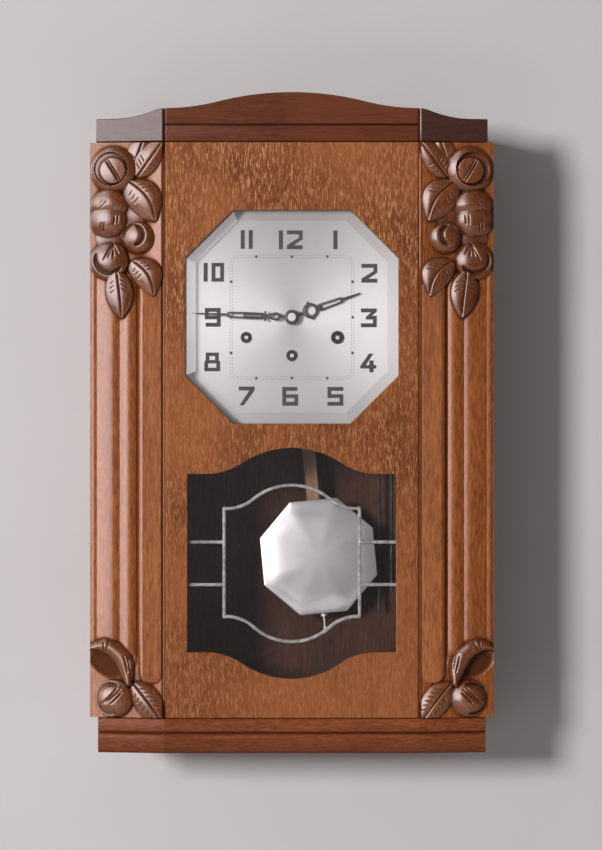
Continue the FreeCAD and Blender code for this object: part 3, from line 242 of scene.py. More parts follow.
def plaster(name, one_sided):
    """Pale paint with faint unevenness; one-sided paint shows only to a camera in front of it."""
    finish = Finish(name)
    patches = finish.noise(finish.place, scale=3.0, detail=3.0)
    finish.bump(finish.noise(finish.place, scale=90.0, detail=3.0), strength=0.05, distance=0.002)
    colour = finish.ramp(patches, (0.3, scaled(WALL, 0.96)), (0.7, scaled(WALL, 1.04)))
    finish.surface({"Base Color": colour, "Roughness": 0.9, "Specular IOR Level": 0.1})
    if one_sided:
        seen = finish.add("LightPath").outputs["Is Camera Ray"]
        back = finish.add("NewGeometry").outputs["Backfacing"]
        share = finish.times(seen, finish.math("SUBTRACT", 1.0, back))
        clear = finish.add("BsdfTransparent").outputs[0]
        finish.feed(finish.output.inputs["Surface"], finish.mixed(share, clear, finish.shader.outputs[0]))
    return finish.material


far = STAGE_HALF
stage_sheet(
    "wall",
    [(-far, WALL_GAP, FLOOR_Z), (far, WALL_GAP, FLOOR_Z), (far, WALL_GAP, far), (-far, WALL_GAP, far)],
    plaster("wall_paint", True),
)
stage_sheet(
    "floor",
    [(-far, -far, FLOOR_Z), (far, -far, FLOOR_Z), (far, far, FLOOR_Z), (-far, far, FLOOR_Z)],
    plaster("floor_paint", False),
)
print("wall and floor made")

# %% [markdown]
# ## Light
# A wide window to the left lights the clock and throws a soft shadow to the right. One large area lamp
# stands for it. Varnish, bevelled glass and the bob also need something to mirror, so mirrored rays meet a
# glow in place of the lamp: bright on the left, dim on the right, and fading upwards, downwards and towards
# the wall.

# %% Lamp and world
LAMP_POWER = 168.0
LAMP_SIZE = 0.75
LAMP_TINT = (1.0, 0.985, 0.975)
LAMP_DISTANCE = 4.6
LAMP_LEFT = math.radians(30.0)
LAMP_UP = math.radians(7.0)
AIM = Vector((0.0, -0.1, -0.2))
lamp_data = bpy.data.lights.new("window_lamp", "AREA")
lamp_data.energy = LAMP_POWER
lamp_data.size = LAMP_SIZE
lamp_data.color = LAMP_TINT
lamp = bpy.data.objects.new("window_lamp", lamp_data)
towards = Vector((-math.sin(LAMP_LEFT), -math.cos(LAMP_LEFT), math.tan(LAMP_UP))).normalized()
lamp.location = AIM + towards * LAMP_DISTANCE
lamp.rotation_euler = towards.to_track_quat("Z", "Y").to_euler()
lamp.visible_glossy = False
scene.collection.objects.link(lamp)

FILL = 0.2
BACKGROUND = 0.8
WINDOW_GLOW = 6.0
ROOM_TINT = tone(1.0, 0.975, 0.985)
GLOW_TINT = (1.0, 0.945, 0.97)
GLOW_REACH = (-1.0, 0.25)
GLOW = (
    (0.0, 0.35), (0.1, 0.75), (0.22, 0.95), (0.32, 0.95), (0.44, 0.87), (0.536, 0.6), (0.576, 0.42),
    (0.64, 0.16), (0.696, 0.12), (0.8, 0.078), (0.904, 0.035), (1.0, 0.015),
)
GLOW_FALLS = (("Y", 0.0, 0.35, 1.0, 0.25), ("Z", 0.3, 0.7, 1.0, 0.35), ("Z", -0.3, 0.04, 0.2, 1.0))
world = bpy.data.worlds.new("room")
world.use_nodes = True
scene.world = world
room = Nodes(world.node_tree)
rays = room.add("LightPath").outputs
direction = room.add("TexCoord").outputs["Generated"]
ways = room.add("SeparateXYZ", {"Vector": direction}).outputs
stops = [(place, tone(*(share * c for c in GLOW_TINT))) for place, share in GLOW]
mirrored = room.ramp(room.span(ways["X"], *GLOW_REACH), *stops)
shown = room.math("MAXIMUM", rays["Is Camera Ray"], rays["Is Transmission Ray"])
level = room.span(shown, 0.0, 1.0, FILL, BACKGROUND)
glow = room.times(*(room.span(ways[way], *fall) for way, *fall in GLOW_FALLS), WINDOW_GLOW)
level = room.plus(level, room.times(rays["Is Glossy Ray"], room.math("SUBTRACT", glow, FILL)))
sky = world.node_tree.nodes["Background"]
room.feed(sky.inputs["Color"], room.blend(rays["Is Glossy Ray"], ROOM_TINT, mirrored))
room.feed(sky.inputs["Strength"], level)
print("lamp at", [round(c, 2) for c in lamp.location])

# %% [markdown]
# ## Woods
# The panel is a golden-brown open-pored wood with straight upright grain. Noise that is squeezed along the
# grain makes bands and fibres, and a finer, shorter noise makes the pores and the pale flecks between them,
# which on the panel fade towards the bottom. The same tree, with other colours, makes the redder crown and
# plinth, the darker box behind and the pale pendulum rod. Two attributes that the meshes carry change it
# further: wear, on rounded edges, and hollow, which paints shade into grooves, cuts, carved hollows and the
# ground round the carvings, together with the dark of old polish and dust there, and on the plinth makes the
# lower moulding darker towards the bottom.

# %% Wood finish
WOOD_LOOK = {
    "fleck": 0.5, "low_fleck": 1.0, "fleck_tone": None, "fine": 640.0, "pit": 0.6, "roughness": 0.32,
    "shine": 0.35, "coat": 0.0, "coat_roughness": 0.2, "dull_hollows": 0.45,
}
GRAIN_SQUEEZE, PORE_SQUEEZE = 0.045, 0.17
BAND_SCALE, FIBRE_SCALE, CLOUD_SCALE = 42.0, 560.0, 9.0
BAND_SHARE, FIBRE_SHARE, PORE_SHARE = 0.35, 0.35, 0.3
CONTRAST = 0.12
PIT_SPAN, FLECK_SPAN = (0.45, 0.34), (0.53, 0.66)
FLECK_HEIGHTS = (-0.38, 0.0)


def squeezed(finish, axis, share):
    """Object coordinates, squeezed along one axis so that marks are drawn out along it."""
    return finish.stretched([share if way == axis else 1.0 for way in "XYZ"])


def wood(name, dark, mid, light, along="Z", **look):
    """A polished wood whose grain runs along one axis."""
    look = {**WOOD_LOOK, **look}
    dark, mid, light = tone(*dark), tone(*mid), tone(*light)
    pale = look["fleck_tone"] or scaled(light, 1.6)
    finish = Finish(name)
    lie = squeezed(finish, along, GRAIN_SQUEEZE)
    bands = finish.noise(lie, BAND_SCALE, detail=4.0, roughness=0.55, distortion=0.9)
    fibres = finish.noise(lie, FIBRE_SCALE, detail=3.0, roughness=0.7)
    pores = finish.noise(squeezed(finish, along, PORE_SQUEEZE), look["fine"], detail=2.0, roughness=0.6)
    clouds = finish.noise(finish.place, CLOUD_SCALE)
    grain = finish.plus(
        finish.times(bands, BAND_SHARE), finish.times(fibres, FIBRE_SHARE), finish.times(pores, PORE_SHARE),
        finish.span(clouds, 0.3, 0.7, -0.04, 0.04),
    )
    colour = finish.ramp(grain, (0.5 - CONTRAST, dark), (0.5, mid), (0.5 + CONTRAST, light))
    pits = finish.times(finish.span(pores, *PIT_SPAN), look["pit"])
    colour = finish.blend(pits, colour, scaled(dark, 0.45))
    level = finish.add("SeparateXYZ", {"Vector": finish.place}).outputs["Z"]
    share = finish.span(level, *FLECK_HEIGHTS, look["low_fleck"] * look["fleck"], look["fleck"])
    colour = finish.blend(finish.times(finish.span(pores, *FLECK_SPAN), share), colour, pale)
    wear = finish.times(finish.attribute("wear"), finish.span(clouds, 0.35, 0.6, 0.1, 0.6))
    colour = finish.blend(wear, colour, scaled(light, 1.15))
    # Hollow paints shade into grooves, cuts and the ground round the carvings, with the dark of old polish
    # and dust, and dulls the gloss there.
    hollow = finish.attribute("hollow")
    colour = finish.blend(finish.times(hollow, 0.9), colour, scaled(dark, 0.22))
    gloss = finish.span(fibres, 0.3, 0.7, look["roughness"] - 0.06, look["roughness"] + 0.08)
    gloss = finish.plus(gloss, finish.times(hollow, look["dull_hollows"]))
    height = finish.plus(finish.times(pores, 0.7), finish.times(fibres, 0.5))
    finish.bump(height, strength=0.22, distance=0.0005)
    values = {"Base Color": colour, "Roughness": gloss, "Specular IOR Level": look["shine"]}
    if look["coat"]:
        values["Coat Weight"] = finish.span(hollow, 0.1, 0.7, look["coat"], 0.0)
        values["Coat Roughness"] = look["coat_roughness"]
    return finish.surface(values)


panel_wood = wood(
    "panel_wood", (0.135, 0.035, 0.009), (0.205, 0.058, 0.0155), (0.28, 0.092, 0.03),
    fleck=0.8, low_fleck=0.45, fleck_tone=tone(0.58, 0.31, 0.14), fine=900.0, pit=0.85,
)
reeded_wood = wood(
    "reeded_wood", (0.2, 0.05, 0.009), (0.272, 0.075, 0.014), (0.35, 0.112, 0.026),
    fleck=0.25, pit=0.4, roughness=0.24, coat=0.8, coat_roughness=0.18, shine=0.5, dull_hollows=0.6,
)
carved_wood = wood(
    "carved_wood", (0.1, 0.0245, 0.0055), (0.17, 0.0455, 0.0105), (0.25, 0.074, 0.019),
    fleck=0.1, pit=0.25, roughness=0.15, coat=1.0, coat_roughness=0.06, shine=0.8, dull_hollows=0.4,
)
level_grain = {"along": "X", "fleck": 0.16, "pit": 0.35, "roughness": 0.26, "shine": 0.3}
red_wood = wood(
    "red_wood", (0.058, 0.0135, 0.0048), (0.09, 0.0215, 0.0078), (0.127, 0.0345, 0.0135), **level_grain
)
plinth_wood = wood(
    "plinth_wood", (0.14, 0.034, 0.01), (0.2, 0.05, 0.015), (0.26, 0.072, 0.023), **level_grain
)
# Painted shade: the wings are the crown's red wood painted darker to stand for the shade on the right wing;
# the heavier coat is their glossier varnish.
wing_wood = wood(
    "wing_wood", (0.022, 0.007, 0.005), (0.036, 0.0105, 0.0065), (0.054, 0.016, 0.009),
    along="X", fleck=0.1, pit=0.35, roughness=0.3, shine=0.65, coat=1.0, coat_roughness=0.25,
)
case_wood = wood(
    "case_wood", (0.07, 0.024, 0.012), (0.105, 0.036, 0.017), (0.15, 0.055, 0.026),
    fleck=0.1, pit=0.35, roughness=0.5,
)
pale_wood = wood(
    "pale_wood", (0.25, 0.135, 0.085), (0.32, 0.185, 0.12), (0.39, 0.24, 0.16),
    fleck=0.1, pit=0.2, roughness=0.5,
)
inner_wood = wood(
    "inner_wood", (0.05, 0.021, 0.014), (0.08, 0.034, 0.023), (0.115, 0.05, 0.033),
    fleck=0.06, pit=0.3, roughness=0.6, shine=0.2,
)
print("woods made")

# %% [markdown]
# ## Glass
# Thin clear glass would leave everything behind it in the dark, because light bent by glass is slow to
# find, so rays from the lamp pass straight through it. The dial glass has a ground border, a bevel, which
# is painted a little greyer as painted shade.

# %% Glass
CENTRE_Z = -123.7
BEVEL_INNER = 90.0
BEVEL_SLANT = 99.6
BEVEL_BLUR = 0.4
BEVEL_SHADE = tone(0.3, 0.29, 0.29)


def from_centre(finish):
    """Sideways and upward distance from the hands' centre."""
    moved = {"Vector": finish.place, "Location": (0.0, 0.0, -CENTRE_Z * MM)}
    parts = finish.add("SeparateXYZ", {"Vector": finish.add("Mapping", moved).outputs[0]}).outputs
    return parts["X"], parts["Z"]


def eight_sided(finish):
    """Distance from the hands' centre square to the sides of the glass; slanting sides lie further out."""
    across, rise = [finish.math("ABSOLUTE", way) for way in from_centre(finish)]
    slant = finish.times(finish.plus(across, rise), math.sqrt(0.5) * BEVEL_INNER / BEVEL_SLANT)
    return finish.math("MAXIMUM", slant, finish.math("MAXIMUM", across, rise))


def clear_glass(name, tint, polish=0.0, bevel=0.0):
    """Slightly uneven old glass that lets the lamp through; bevel is how much painted shade greys its
    bevelled border.
    """
    finish = Finish(name)
    finish.bump(finish.noise(finish.place, 22.0, detail=1.0), strength=0.03, distance=0.002)
    dust = finish.noise(finish.place, 60.0, detail=4.0, roughness=0.7)
    colour = finish.ramp(dust, (0.3, scaled(tint, 0.985)), (0.8, tint))
    if bevel:
        # Painted shade: the bevelled border is tinted greyer.
        edge = ((BEVEL_INNER - BEVEL_BLUR) * MM, BEVEL_INNER * MM)
        colour = finish.blend(finish.span(eight_sided(finish), *edge, 0.0, bevel), colour, BEVEL_SHADE)
    values = {"Base Color": colour, "Roughness": 0.015, "Transmission Weight": 1.0, "IOR": 1.5}
    values.update({"Coat Weight": polish, "Coat IOR": 1.68, "Coat Roughness": 0.04})
    finish.surface(values)
    passing = finish.add("LightPath").outputs
    surface = finish.shader.outputs[0]
    for ray in ("Is Glossy Ray", "Is Diffuse Ray", "Is Shadow Ray"):
        surface = finish.mixed(passing[ray], surface, finish.add("BsdfTransparent").outputs[0])
    finish.feed(finish.output.inputs["Surface"], surface)
    return finish.material


bevelled_glass = clear_glass("bevelled_glass", tone(0.985, 0.99, 0.99), polish=0.7, bevel=0.34)
window_glass = clear_glass("window_glass", tone(0.93, 0.935, 0.93))
print("glass made")

# %% [markdown]
# ## Metals and ink
# A metal is the main shader with Metallic turned up, and noise in colour and roughness gives it age:
# tarnish on brass, a dull grey skin on lead. The silvered dial is brushed round the hands' centre, and its
# sheen is painted into its colour: lighter at the sides, greyer above and below, and lighter towards the
# bottom. Rings of noise make the brushing. The ink is dark and a little worn.


# %% Metals
SCRATCH_FINENESS = 14.0


def metal(name, dull, bright, roughness, mottle, metallic=1.0, scratch=0.0):
    """A metal with a mottled skin; scratch adds fine uneven relief."""
    finish = Finish(name)
    skin = finish.noise(finish.place, mottle, detail=4.0, roughness=0.6)
    colour = finish.ramp(skin, (0.35, tone(*dull)), (0.65, tone(*bright)))
    gloss = finish.span(skin, 0.3, 0.7, roughness + 0.08, roughness - 0.05)
    if scratch:
        fine = finish.noise(finish.place, mottle * SCRATCH_FINENESS, detail=2.0)
        finish.bump(fine, strength=scratch, distance=0.0004)
    return finish.surface({"Base Color": colour, "Metallic": metallic, "Roughness": gloss})


lead = metal("lead", (0.22, 0.215, 0.21), (0.44, 0.43, 0.42), 0.5, 190.0, metallic=0.35, scratch=0.5)
brass = metal("brass", (0.42, 0.27, 0.09), (0.62, 0.43, 0.17), 0.34, 30.0, scratch=0.08)
steel = metal("steel", (0.42, 0.42, 0.43), (0.62, 0.62, 0.63), 0.3, 50.0, scratch=0.08)
blued_steel = metal("blued_steel", (0.045, 0.044, 0.05), (0.09, 0.087, 0.096), 0.36, 60.0, metallic=0.5)
black_steel = metal("black_steel", (0.014, 0.013, 0.014), (0.03, 0.029, 0.031), 0.4, 90.0, metallic=0.4)
polished_bob = metal(
    "polished_bob", (0.74, 0.722, 0.738), (0.88, 0.862, 0.88), 0.14, 12.0, metallic=0.6, scratch=0.03
)
satin_steel = metal(
    "satin_steel", (0.75, 0.74, 0.74), (0.88, 0.87, 0.87), 0.4, 120.0, metallic=0.6, scratch=0.1
)
gong_steel = metal("gong_steel", (0.035, 0.034, 0.036), (0.07, 0.068, 0.07), 0.4, 80.0, metallic=0.6)
cast_block = metal(
    "cast_block", (0.06, 0.058, 0.055), (0.11, 0.105, 0.1), 0.55, 90.0, metallic=0.7, scratch=0.6
)


def silvered(name):
    """A silvered dial, brushed round the hands' centre, with a painted sheen in its colour."""
    finish = Finish(name)
    across, rise = from_centre(finish)
    radius = finish.math("SQRT", finish.plus(finish.times(across, across), finish.times(rise, rise)))
    painted_sheen = finish.math("COSINE", finish.times(finish.math("ARCTAN2", across, rise), 2.0))
    ring_place = finish.add("CombineXYZ", {"X": radius}).outputs[0]
    rings = finish.noise(ring_place, 1500.0, detail=2.0, roughness=0.6)
    dust = finish.noise(finish.place, 18.0, detail=4.0, roughness=0.6)
    # Painted sheen: lighter at the sides, greyer above and below, lighter towards the bottom; the rings and
    # dust are the silvering's own unevenness.
    shade = finish.plus(
        finish.times(painted_sheen, finish.span(radius, 0.0, 0.09, -0.3, -0.46)),
        finish.span(rings, 0.3, 0.7, -0.1, 0.1),
        finish.span(dust, 0.3, 0.7, -0.06, 0.06),
        finish.span(rise, -0.1, 0.1, 0.6, 0.42),
    )
    greys = (tone(0.46, 0.443, 0.446), tone(0.665, 0.648, 0.652), tone(0.96, 0.95, 0.952))
    colour = finish.ramp(shade, *zip((0.0, 0.5, 1.0), greys))
    finish.bump(rings, strength=0.05, distance=0.0003)
    return finish.surface({"Base Color": colour, "Metallic": 0.1, "Roughness": 0.38})


def ink(name, colour):
    """Printed dial ink, a little worn."""
    finish = Finish(name)
    worn = finish.noise(finish.place, 420.0, detail=4.0, roughness=0.7)
    shade = finish.ramp(worn, (0.35, scaled(colour, 0.8)), (0.75, scaled(colour, 1.7)))
    return finish.surface({"Base Color": shade, "Roughness": 0.6})


silvered_brass = silvered("silvered_brass")
dial_ink = ink("dial_ink", tone(0.034, 0.027, 0.028))
track_ink = ink("track_ink", tone(0.085, 0.075, 0.075))
print("metals and inks made")

# %% [markdown]
# ## Adding a piece
# Each new mesh becomes a piece in the same way: it takes its finish, gets smooth shading with crisp
# corners, rides on the body it belongs to and hides the CAD pieces it stands for.

# %% Piece helpers
MERGE = 1e-7
MANY_CORNERS = 8


def mesh_from(name, points, faces):
    """A mesh from points in millimetres."""
    mesh = bpy.data.meshes.new(name)
    mesh.from_pydata([tuple(c * MM for c in point) for point in points], [], faces)
    mesh.validate()
    return mesh


def ring_faces(rings, around, base=0):
    """The faces between rings that have the same number of points."""
    faces = []
    for start in range(base, base + (rings - 1) * around, around):
        for k in range(around):
            m = (k + 1) % around
            faces.append((start + k, start + m, start + around + m, start + around + k))
    return faces


def outward(mesh, merge=True):
    """Turns every face of a closed mesh to the outside; merge first joins points that lie on each other."""
    work = bmesh.new()
    work.from_mesh(mesh)
    if merge:
        bmesh.ops.remove_doubles(work, verts=work.verts, dist=MERGE)
    bmesh.ops.recalc_face_normals(work, faces=work.faces)
    work.to_mesh(mesh)
    work.free()
    return mesh


def darkened(mesh, values):
    """A mesh whose points carry how dark the wood is painted there, from 0 to 1: painted shade in grooves and
    hollows, with the dark of old polish and dust.
    """
    mark = mesh.attributes.new("hollow", "FLOAT", "POINT")
    mark.data.foreach_set("value", np.asarray(values, dtype=np.float32))
    return mesh


def piece(name, mesh, body, material, slot, *nodes, crisp=32.0):
    """Makes a mesh a piece of the clock; faces with many corners are flat, and the others curve."""
    thing = bpy.data.objects.new(name, mesh)
    scene.collection.objects.link(thing)
    mesh.materials.clear()
    mesh.materials.append(material)
    mesh.shade_smooth()
    mesh.set_sharp_from_angle(angle=math.radians(crisp))
    for face in mesh.polygons:
        face.use_smooth = len(face.vertices) < MANY_CORNERS
    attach(thing, body)
    if nodes:
        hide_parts(*nodes)
    mesh.calc_loop_triangles()
    print(name, len(mesh.loop_triangles), "triangles")
    return thing


# %% [markdown]
# ## Boards with rounded edges
# The CAD boards have edges as sharp as a drawing. Real ones are eased with a scraper and rounded by
# handling, and that thin rounded strip is what catches the light. A copy of each board is merged and
# cleaned, its sharp edges are bevelled, and the new strips are marked as wear for the wood finish. The line
# cut into the crown is marked as hollow, which paints shade into it.

# %% Rounded boards
CROWN_LINE = 56.4
LINE_HALF = 0.9
LINE_DEPTHS = (0.1, 3.0)
CAD_MERGE = 1e-6
FLAT_ANGLE = math.radians(1.0)
SHARP_ANGLE = math.radians(28.0)
ROUNDING_STEPS = 2


def softened(node, radius, line=None):
    """A copy of a CAD piece with its sharp edges rounded; line is the height of a line cut in its front."""
    work = bmesh.new()
    work.from_mesh(frame["nodes"][node].data)
    wear = work.verts.layers.float.new("wear")
    bmesh.ops.remove_doubles(work, verts=work.verts, dist=CAD_MERGE)
    bmesh.ops.dissolve_limit(work, angle_limit=FLAT_ANGLE, verts=work.verts, edges=work.edges)
    joined = [edge for edge in work.edges if len(edge.link_faces) == 2]
    made = bmesh.ops.bevel(
        work, geom=[edge for edge in joined if edge.calc_face_angle() > SHARP_ANGLE], offset=radius * MM,
        offset_type="OFFSET", segments=ROUNDING_STEPS, profile=0.5, affect="EDGES", clamp_overlap=True,
    )
    for face in made["faces"]:
        for vertex in face.verts:
            vertex[wear] = 1.0
    # The line cut into the crown gets painted shade.
    hollow = work.verts.layers.float.new("hollow")
    for vertex in work.verts if line else ():
        place = vertex.co / MM
        if abs(place.z - line) < LINE_HALF and LINE_DEPTHS[0] < place.y - DOOR_FRONT < LINE_DEPTHS[1]:
            vertex[hollow] = 1.0
    mesh = bpy.data.meshes.new(node + "_eased")
    work.to_mesh(mesh)
    work.free()
    return mesh


BOARDS = (
    ("crown_board", "crown_centre", 0.6, CROWN_LINE, "case", red_wood, "red_wood"),
    ("crown_wing_boards", "crown_wings", 1.0, None, "case", wing_wood, "red_wood"),
    ("door_front", "door_panel", 0.5, None, "door", panel_wood, "panel_wood"),
    ("case_sides", "side_boards", 0.8, None, "case", case_wood, "case_wood"),
    ("case_top", "top_board", 0.6, None, "case", case_wood, "case_wood"),
    ("case_bottom", "bottom_board", 0.6, None, "case", case_wood, "case_wood"),
)
for name, node, radius, line, body, material, slot in BOARDS:
    piece(name, softened(node, radius, line), body, material, slot, node)

# %% [markdown]
# ## Relief of the pilasters
# Each side of the door is a pilaster that leans back, with three reeds and an edge bead, and with carved
# sprays of fruit and leaves at top and bottom. A carver works such relief straight into the front of the
# board, so it is modelled as a height map: for every point on the ground, how far the wood stands out.
# Points are given as s, inwards from the pilaster's outer edge, and t, down from the door's top edge, both
# in millimetres.

# %% Reeds
PANEL_HALF = 119.4
PILASTER = 70.3
DOOR_TOP = 40.0
DOOR_HEIGHT = 539.5
DOOR_BACK = -125.6
CANT = math.tan(math.radians(8.0))
REEDS = (
    (-0.6, 3.0, 7.6, 1.1, 116.0, 482.0),
    (4.6, 20.4, 29.6, 2.3, 116.0, 482.0),
    (27.0, 35.8, 44.8, 2.4, 122.0, 482.0),
)
FLAT_REED = (2.0, 24.5, 3.5, 128.0, 507.4, -8.5)
FLAT_CORNER = 9.5
FLAT_EDGES = (1.2, 5.0)
SEAM_WIDTH, SEAM_DEPTH = 2.0, 1.6
EDGE_WIDTH, EDGE_DROP = 1.6, 2.2
GROUND_TILT, TILT_START, TILT_REACH, TILT_END = 0.07, 22.0, 20.0, 126.0
GROOVE_RUN, GROOVE_WIDTH, GROOVE_DEPTH, GROOVE_ENDS = 25.7, 0.9, 1.8, (130.0, 492.0)
FADE = 10.0


def rounded(share):
    """A quarter round: steep at 0, level at 1."""
    return np.sqrt(share * (2 - share))


def notch(off, width):
    """The section of a cut, 1 in its middle."""
    return np.exp(-((off / width) ** 2))


def reed_height(s, t):
    """Height of the reeds above the pilaster's ground."""
    run = PILASTER - s
    height = np.where(run < SEAM_WIDTH, -SEAM_DEPTH * (1.0 - run / SEAM_WIDTH), 0.0)
    height = height - EDGE_DROP * np.clip(1.0 - s / EDGE_WIDTH, 0.0, 1.0) ** 2
    tilt = GROUND_TILT * np.clip(TILT_START - run, 0.0, TILT_REACH)
    height = height + tilt * np.clip((TILT_END - t) / FADE, 0.0, 1.0)
    for start, ridge, end, rise, top, bottom in REEDS:
        share = np.where(s < ridge, (s - start) / (ridge - start), (end - s) / (end - ridge))
        bulge = np.where(s < EDGE_WIDTH, 0.0, np.sin(np.clip(share, 0.0, 1.0) * math.pi / 2))
        reach = np.clip(np.minimum(t - top, bottom - t) / (end - start), 0.0, 0.5) * 2
        height = np.maximum(height, rise * bulge * rounded(reach))
    start, end, rise, top, bottom, lean = FLAT_REED
    middle = (start + end) / 2
    dx = np.abs(run - middle) - (end - start) / 2 + FLAT_CORNER
    dt = np.abs(t - (top + bottom) / 2) - (bottom - top) / 2 + FLAT_CORNER
    outside = np.hypot(np.maximum(dx, 0), np.maximum(dt, 0)) + np.minimum(np.maximum(dx, dt), 0) - FLAT_CORNER
    inward = np.clip(-outside / np.interp(run, (start, end), FLAT_EDGES), 0.0, 1.0)
    stand = rise - math.tan(math.radians(lean)) * (run - middle)
    height = np.maximum(height, stand * rounded(inward))
    top, bottom = GROOVE_ENDS
    fade = np.clip((t - top) / FADE, 0, 1) * np.clip((bottom - t) / FADE, 0, 1)
    return height - GROOVE_DEPTH * notch(run - GROOVE_RUN, GROOVE_WIDTH) * fade


# %% [markdown]
# ## Carved fruit and leaves
# A fruit is a swelling that drops steeply at its rim; a gouge has cut crescents and double slits into it. A
# leaf is a roof with a cut midrib, so that its two halves face different ways and catch the light
# differently, and short veins. Each form is a function of s and t, and the spray is simply the highest of
# them at each point.

# %% Carving tools
BELOW = -60.0
FULLNESS, STEEPNESS = 2.2, 0.58
RIB_DEPTH, RIB_WIDTH = 1.7, 0.75
VEIN_DEPTH, VEIN_WIDTH, VEIN_SLANT = 0.8, 0.55, 0.17
FIRST_VEIN, VEIN_GAP = 0.14, 0.1
RIM_WIDTH, RIM_DROP = 1.1, 1.3
LEAF_FULLNESS, BASE_ROUND, TIP_ROUND = 1.75, 0.55, 0.72
END_HEIGHT, HALF_FALL, HALF_SWELL = 0.62, 0.6, 0.2
LEFT_VEINS, RIGHT_VEINS = (0.3, 0.45, 0.6, 0.75), (0.12, 0.3, 0.55, 0.8)
BED_RISE = 3.0


def swelling(share):
    """A full round section: 1 in the middle, falling steeply to 0 at a share of 1."""
    return np.clip(1.0 - np.clip(share, 0, 1) ** FULLNESS, 0, 1) ** STEEPNESS


def fruit(s, t, centre, radius, rise):
    """A swelling fruit."""
    d = np.hypot(s - centre[0], t - centre[1]) / radius
    return np.where(d < 1.0, rise * swelling(d), BELOW)


def ease(value, low, high):
    """A smooth step from 0 to 1."""
    x = np.clip((value - low) / (high - low), 0.0, 1.0)
    return x * x * (3 - 2 * x)


def band(value, rise_start, rise_end, fall_start, fall_end):
    """A smooth step up to 1 and down again."""
    return ease(value, rise_start, rise_end) * (1 - ease(value, fall_start, fall_end))


def beside(s, t, start, end):
    """How far along a line each point lies, from 0 to 1, and its distance from the line."""
    ax, ay = end[0] - start[0], end[1] - start[1]
    along = np.clip(((s - start[0]) * ax + (t - start[1]) * ay) / (ax * ax + ay * ay), 0.0, 1.0)
    return along, np.hypot(s - start[0] - along * ax, t - start[1] - along * ay)


def slit(s, t, start, end, width, depth):
    """Depth of a straight cut that tapers to its ends."""
    along, off = beside(s, t, start, end)
    taper = np.sqrt(np.clip(1.0 - (2.0 * along - 1.0) ** 2, 0.0, 1.0)) * 0.7 + 0.3
    return depth * taper * notch(off, width)


def cut(height, s, t, lines, width, depth):
    """A form with straight cuts of one size."""
    for start, end in lines:
        height = height - slit(s, t, start, end, width, depth)
    return height


def crescent(s, t, centre, radius, start, end, width, depth):
    """Depth of a curved cut between two angles, thickest at its middle; angles run clockwise from inwards."""
    off = np.hypot(s - centre[0], t - centre[1]) - radius
    turn = np.degrees(np.arctan2(t - centre[1], s - centre[0]))
    middle, half = (start + end) / 2, (end - start) / 2
    away = np.abs((turn - middle + 180.0) % 360.0 - 180.0) / half
    thick = np.sqrt(np.clip(1.0 - away**2, 0.0, 1.0))
    return depth * np.clip(thick * 1.4, 0, 1) * notch(off, width * (0.35 + thick)) * (away < 1.0)


def leaf(s, t, base, tip, halves, rise, lift=0.0, bend=0.0, veins=3):
    """A folded leaf; halves are its widths to the left and right of the midrib, seen from base to tip."""
    ax, ay = tip[0] - base[0], tip[1] - base[1]
    length = math.hypot(ax, ay)
    ax, ay = ax / length, ay / length
    u = ((s - base[0]) * ax + (t - base[1]) * ay) / length
    inside = (u > 0.0) & (u < 1.0)
    uc = np.clip(u, 1e-4, 1 - 1e-4)
    v = (s - base[0]) * ay - (t - base[1]) * ax - bend * np.sin(np.pi * uc)
    outline = LEAF_FULLNESS * uc**BASE_ROUND * (1 - uc) ** TIP_ROUND
    half = np.where(v < 0, halves[0], halves[1]) * outline
    w = np.abs(v) / np.maximum(half, 1e-3)
    arch = END_HEIGHT + (1 - END_HEIGHT) * np.sin(np.pi * np.clip(uc * 1.05, 0, 1))
    swell = 1.0 - HALF_FALL * w + HALF_SWELL * np.sin(np.pi * np.clip(w, 0, 1))
    height = lift + rise * arch * swell
    height = height - RIB_DEPTH * notch(v, RIB_WIDTH) * (1 - uc) ** 0.2
    veined = np.where(v < 0, band(w, *LEFT_VEINS), band(w, *RIGHT_VEINS))
    for number in range(veins):
        foot = FIRST_VEIN + VEIN_GAP * number
        off = (u - foot - VEIN_SLANT * w) * length
        height = height - VEIN_DEPTH * notch(off, VEIN_WIDTH) * veined
    rim = np.clip((1.0 - w) * half / RIM_WIDTH, 0.0, 1.0)
    height = height - RIM_DROP * (1 - rounded(rim))
    return np.where(inside & (w < 1.0), height, BELOW)


def bedding(s, t, spots, radius):
    """The low wood left between fruits, which ties the spray together."""
    height = np.full(np.shape(s), BELOW)
    for spot in spots:
        d = np.hypot(s - spot[0], t - spot[1]) / radius
        height = np.maximum(height, np.where(d < 1.0, BED_RISE * np.sqrt(np.clip(1 - d**2, 0, 1)), BELOW))
    return height


# %% [markdown]
# ## Upper spray
# From the top: a fruit with a bowl cut in its face and a disc left standing in it, a capped fruit, a
# smaller one and a fourth below, with five leaves between and under them. Each line of a table is one leaf:
# base, tip, the two half-widths, the rise, and, where they differ from plain, the lift, the bend and the
# number of veins.

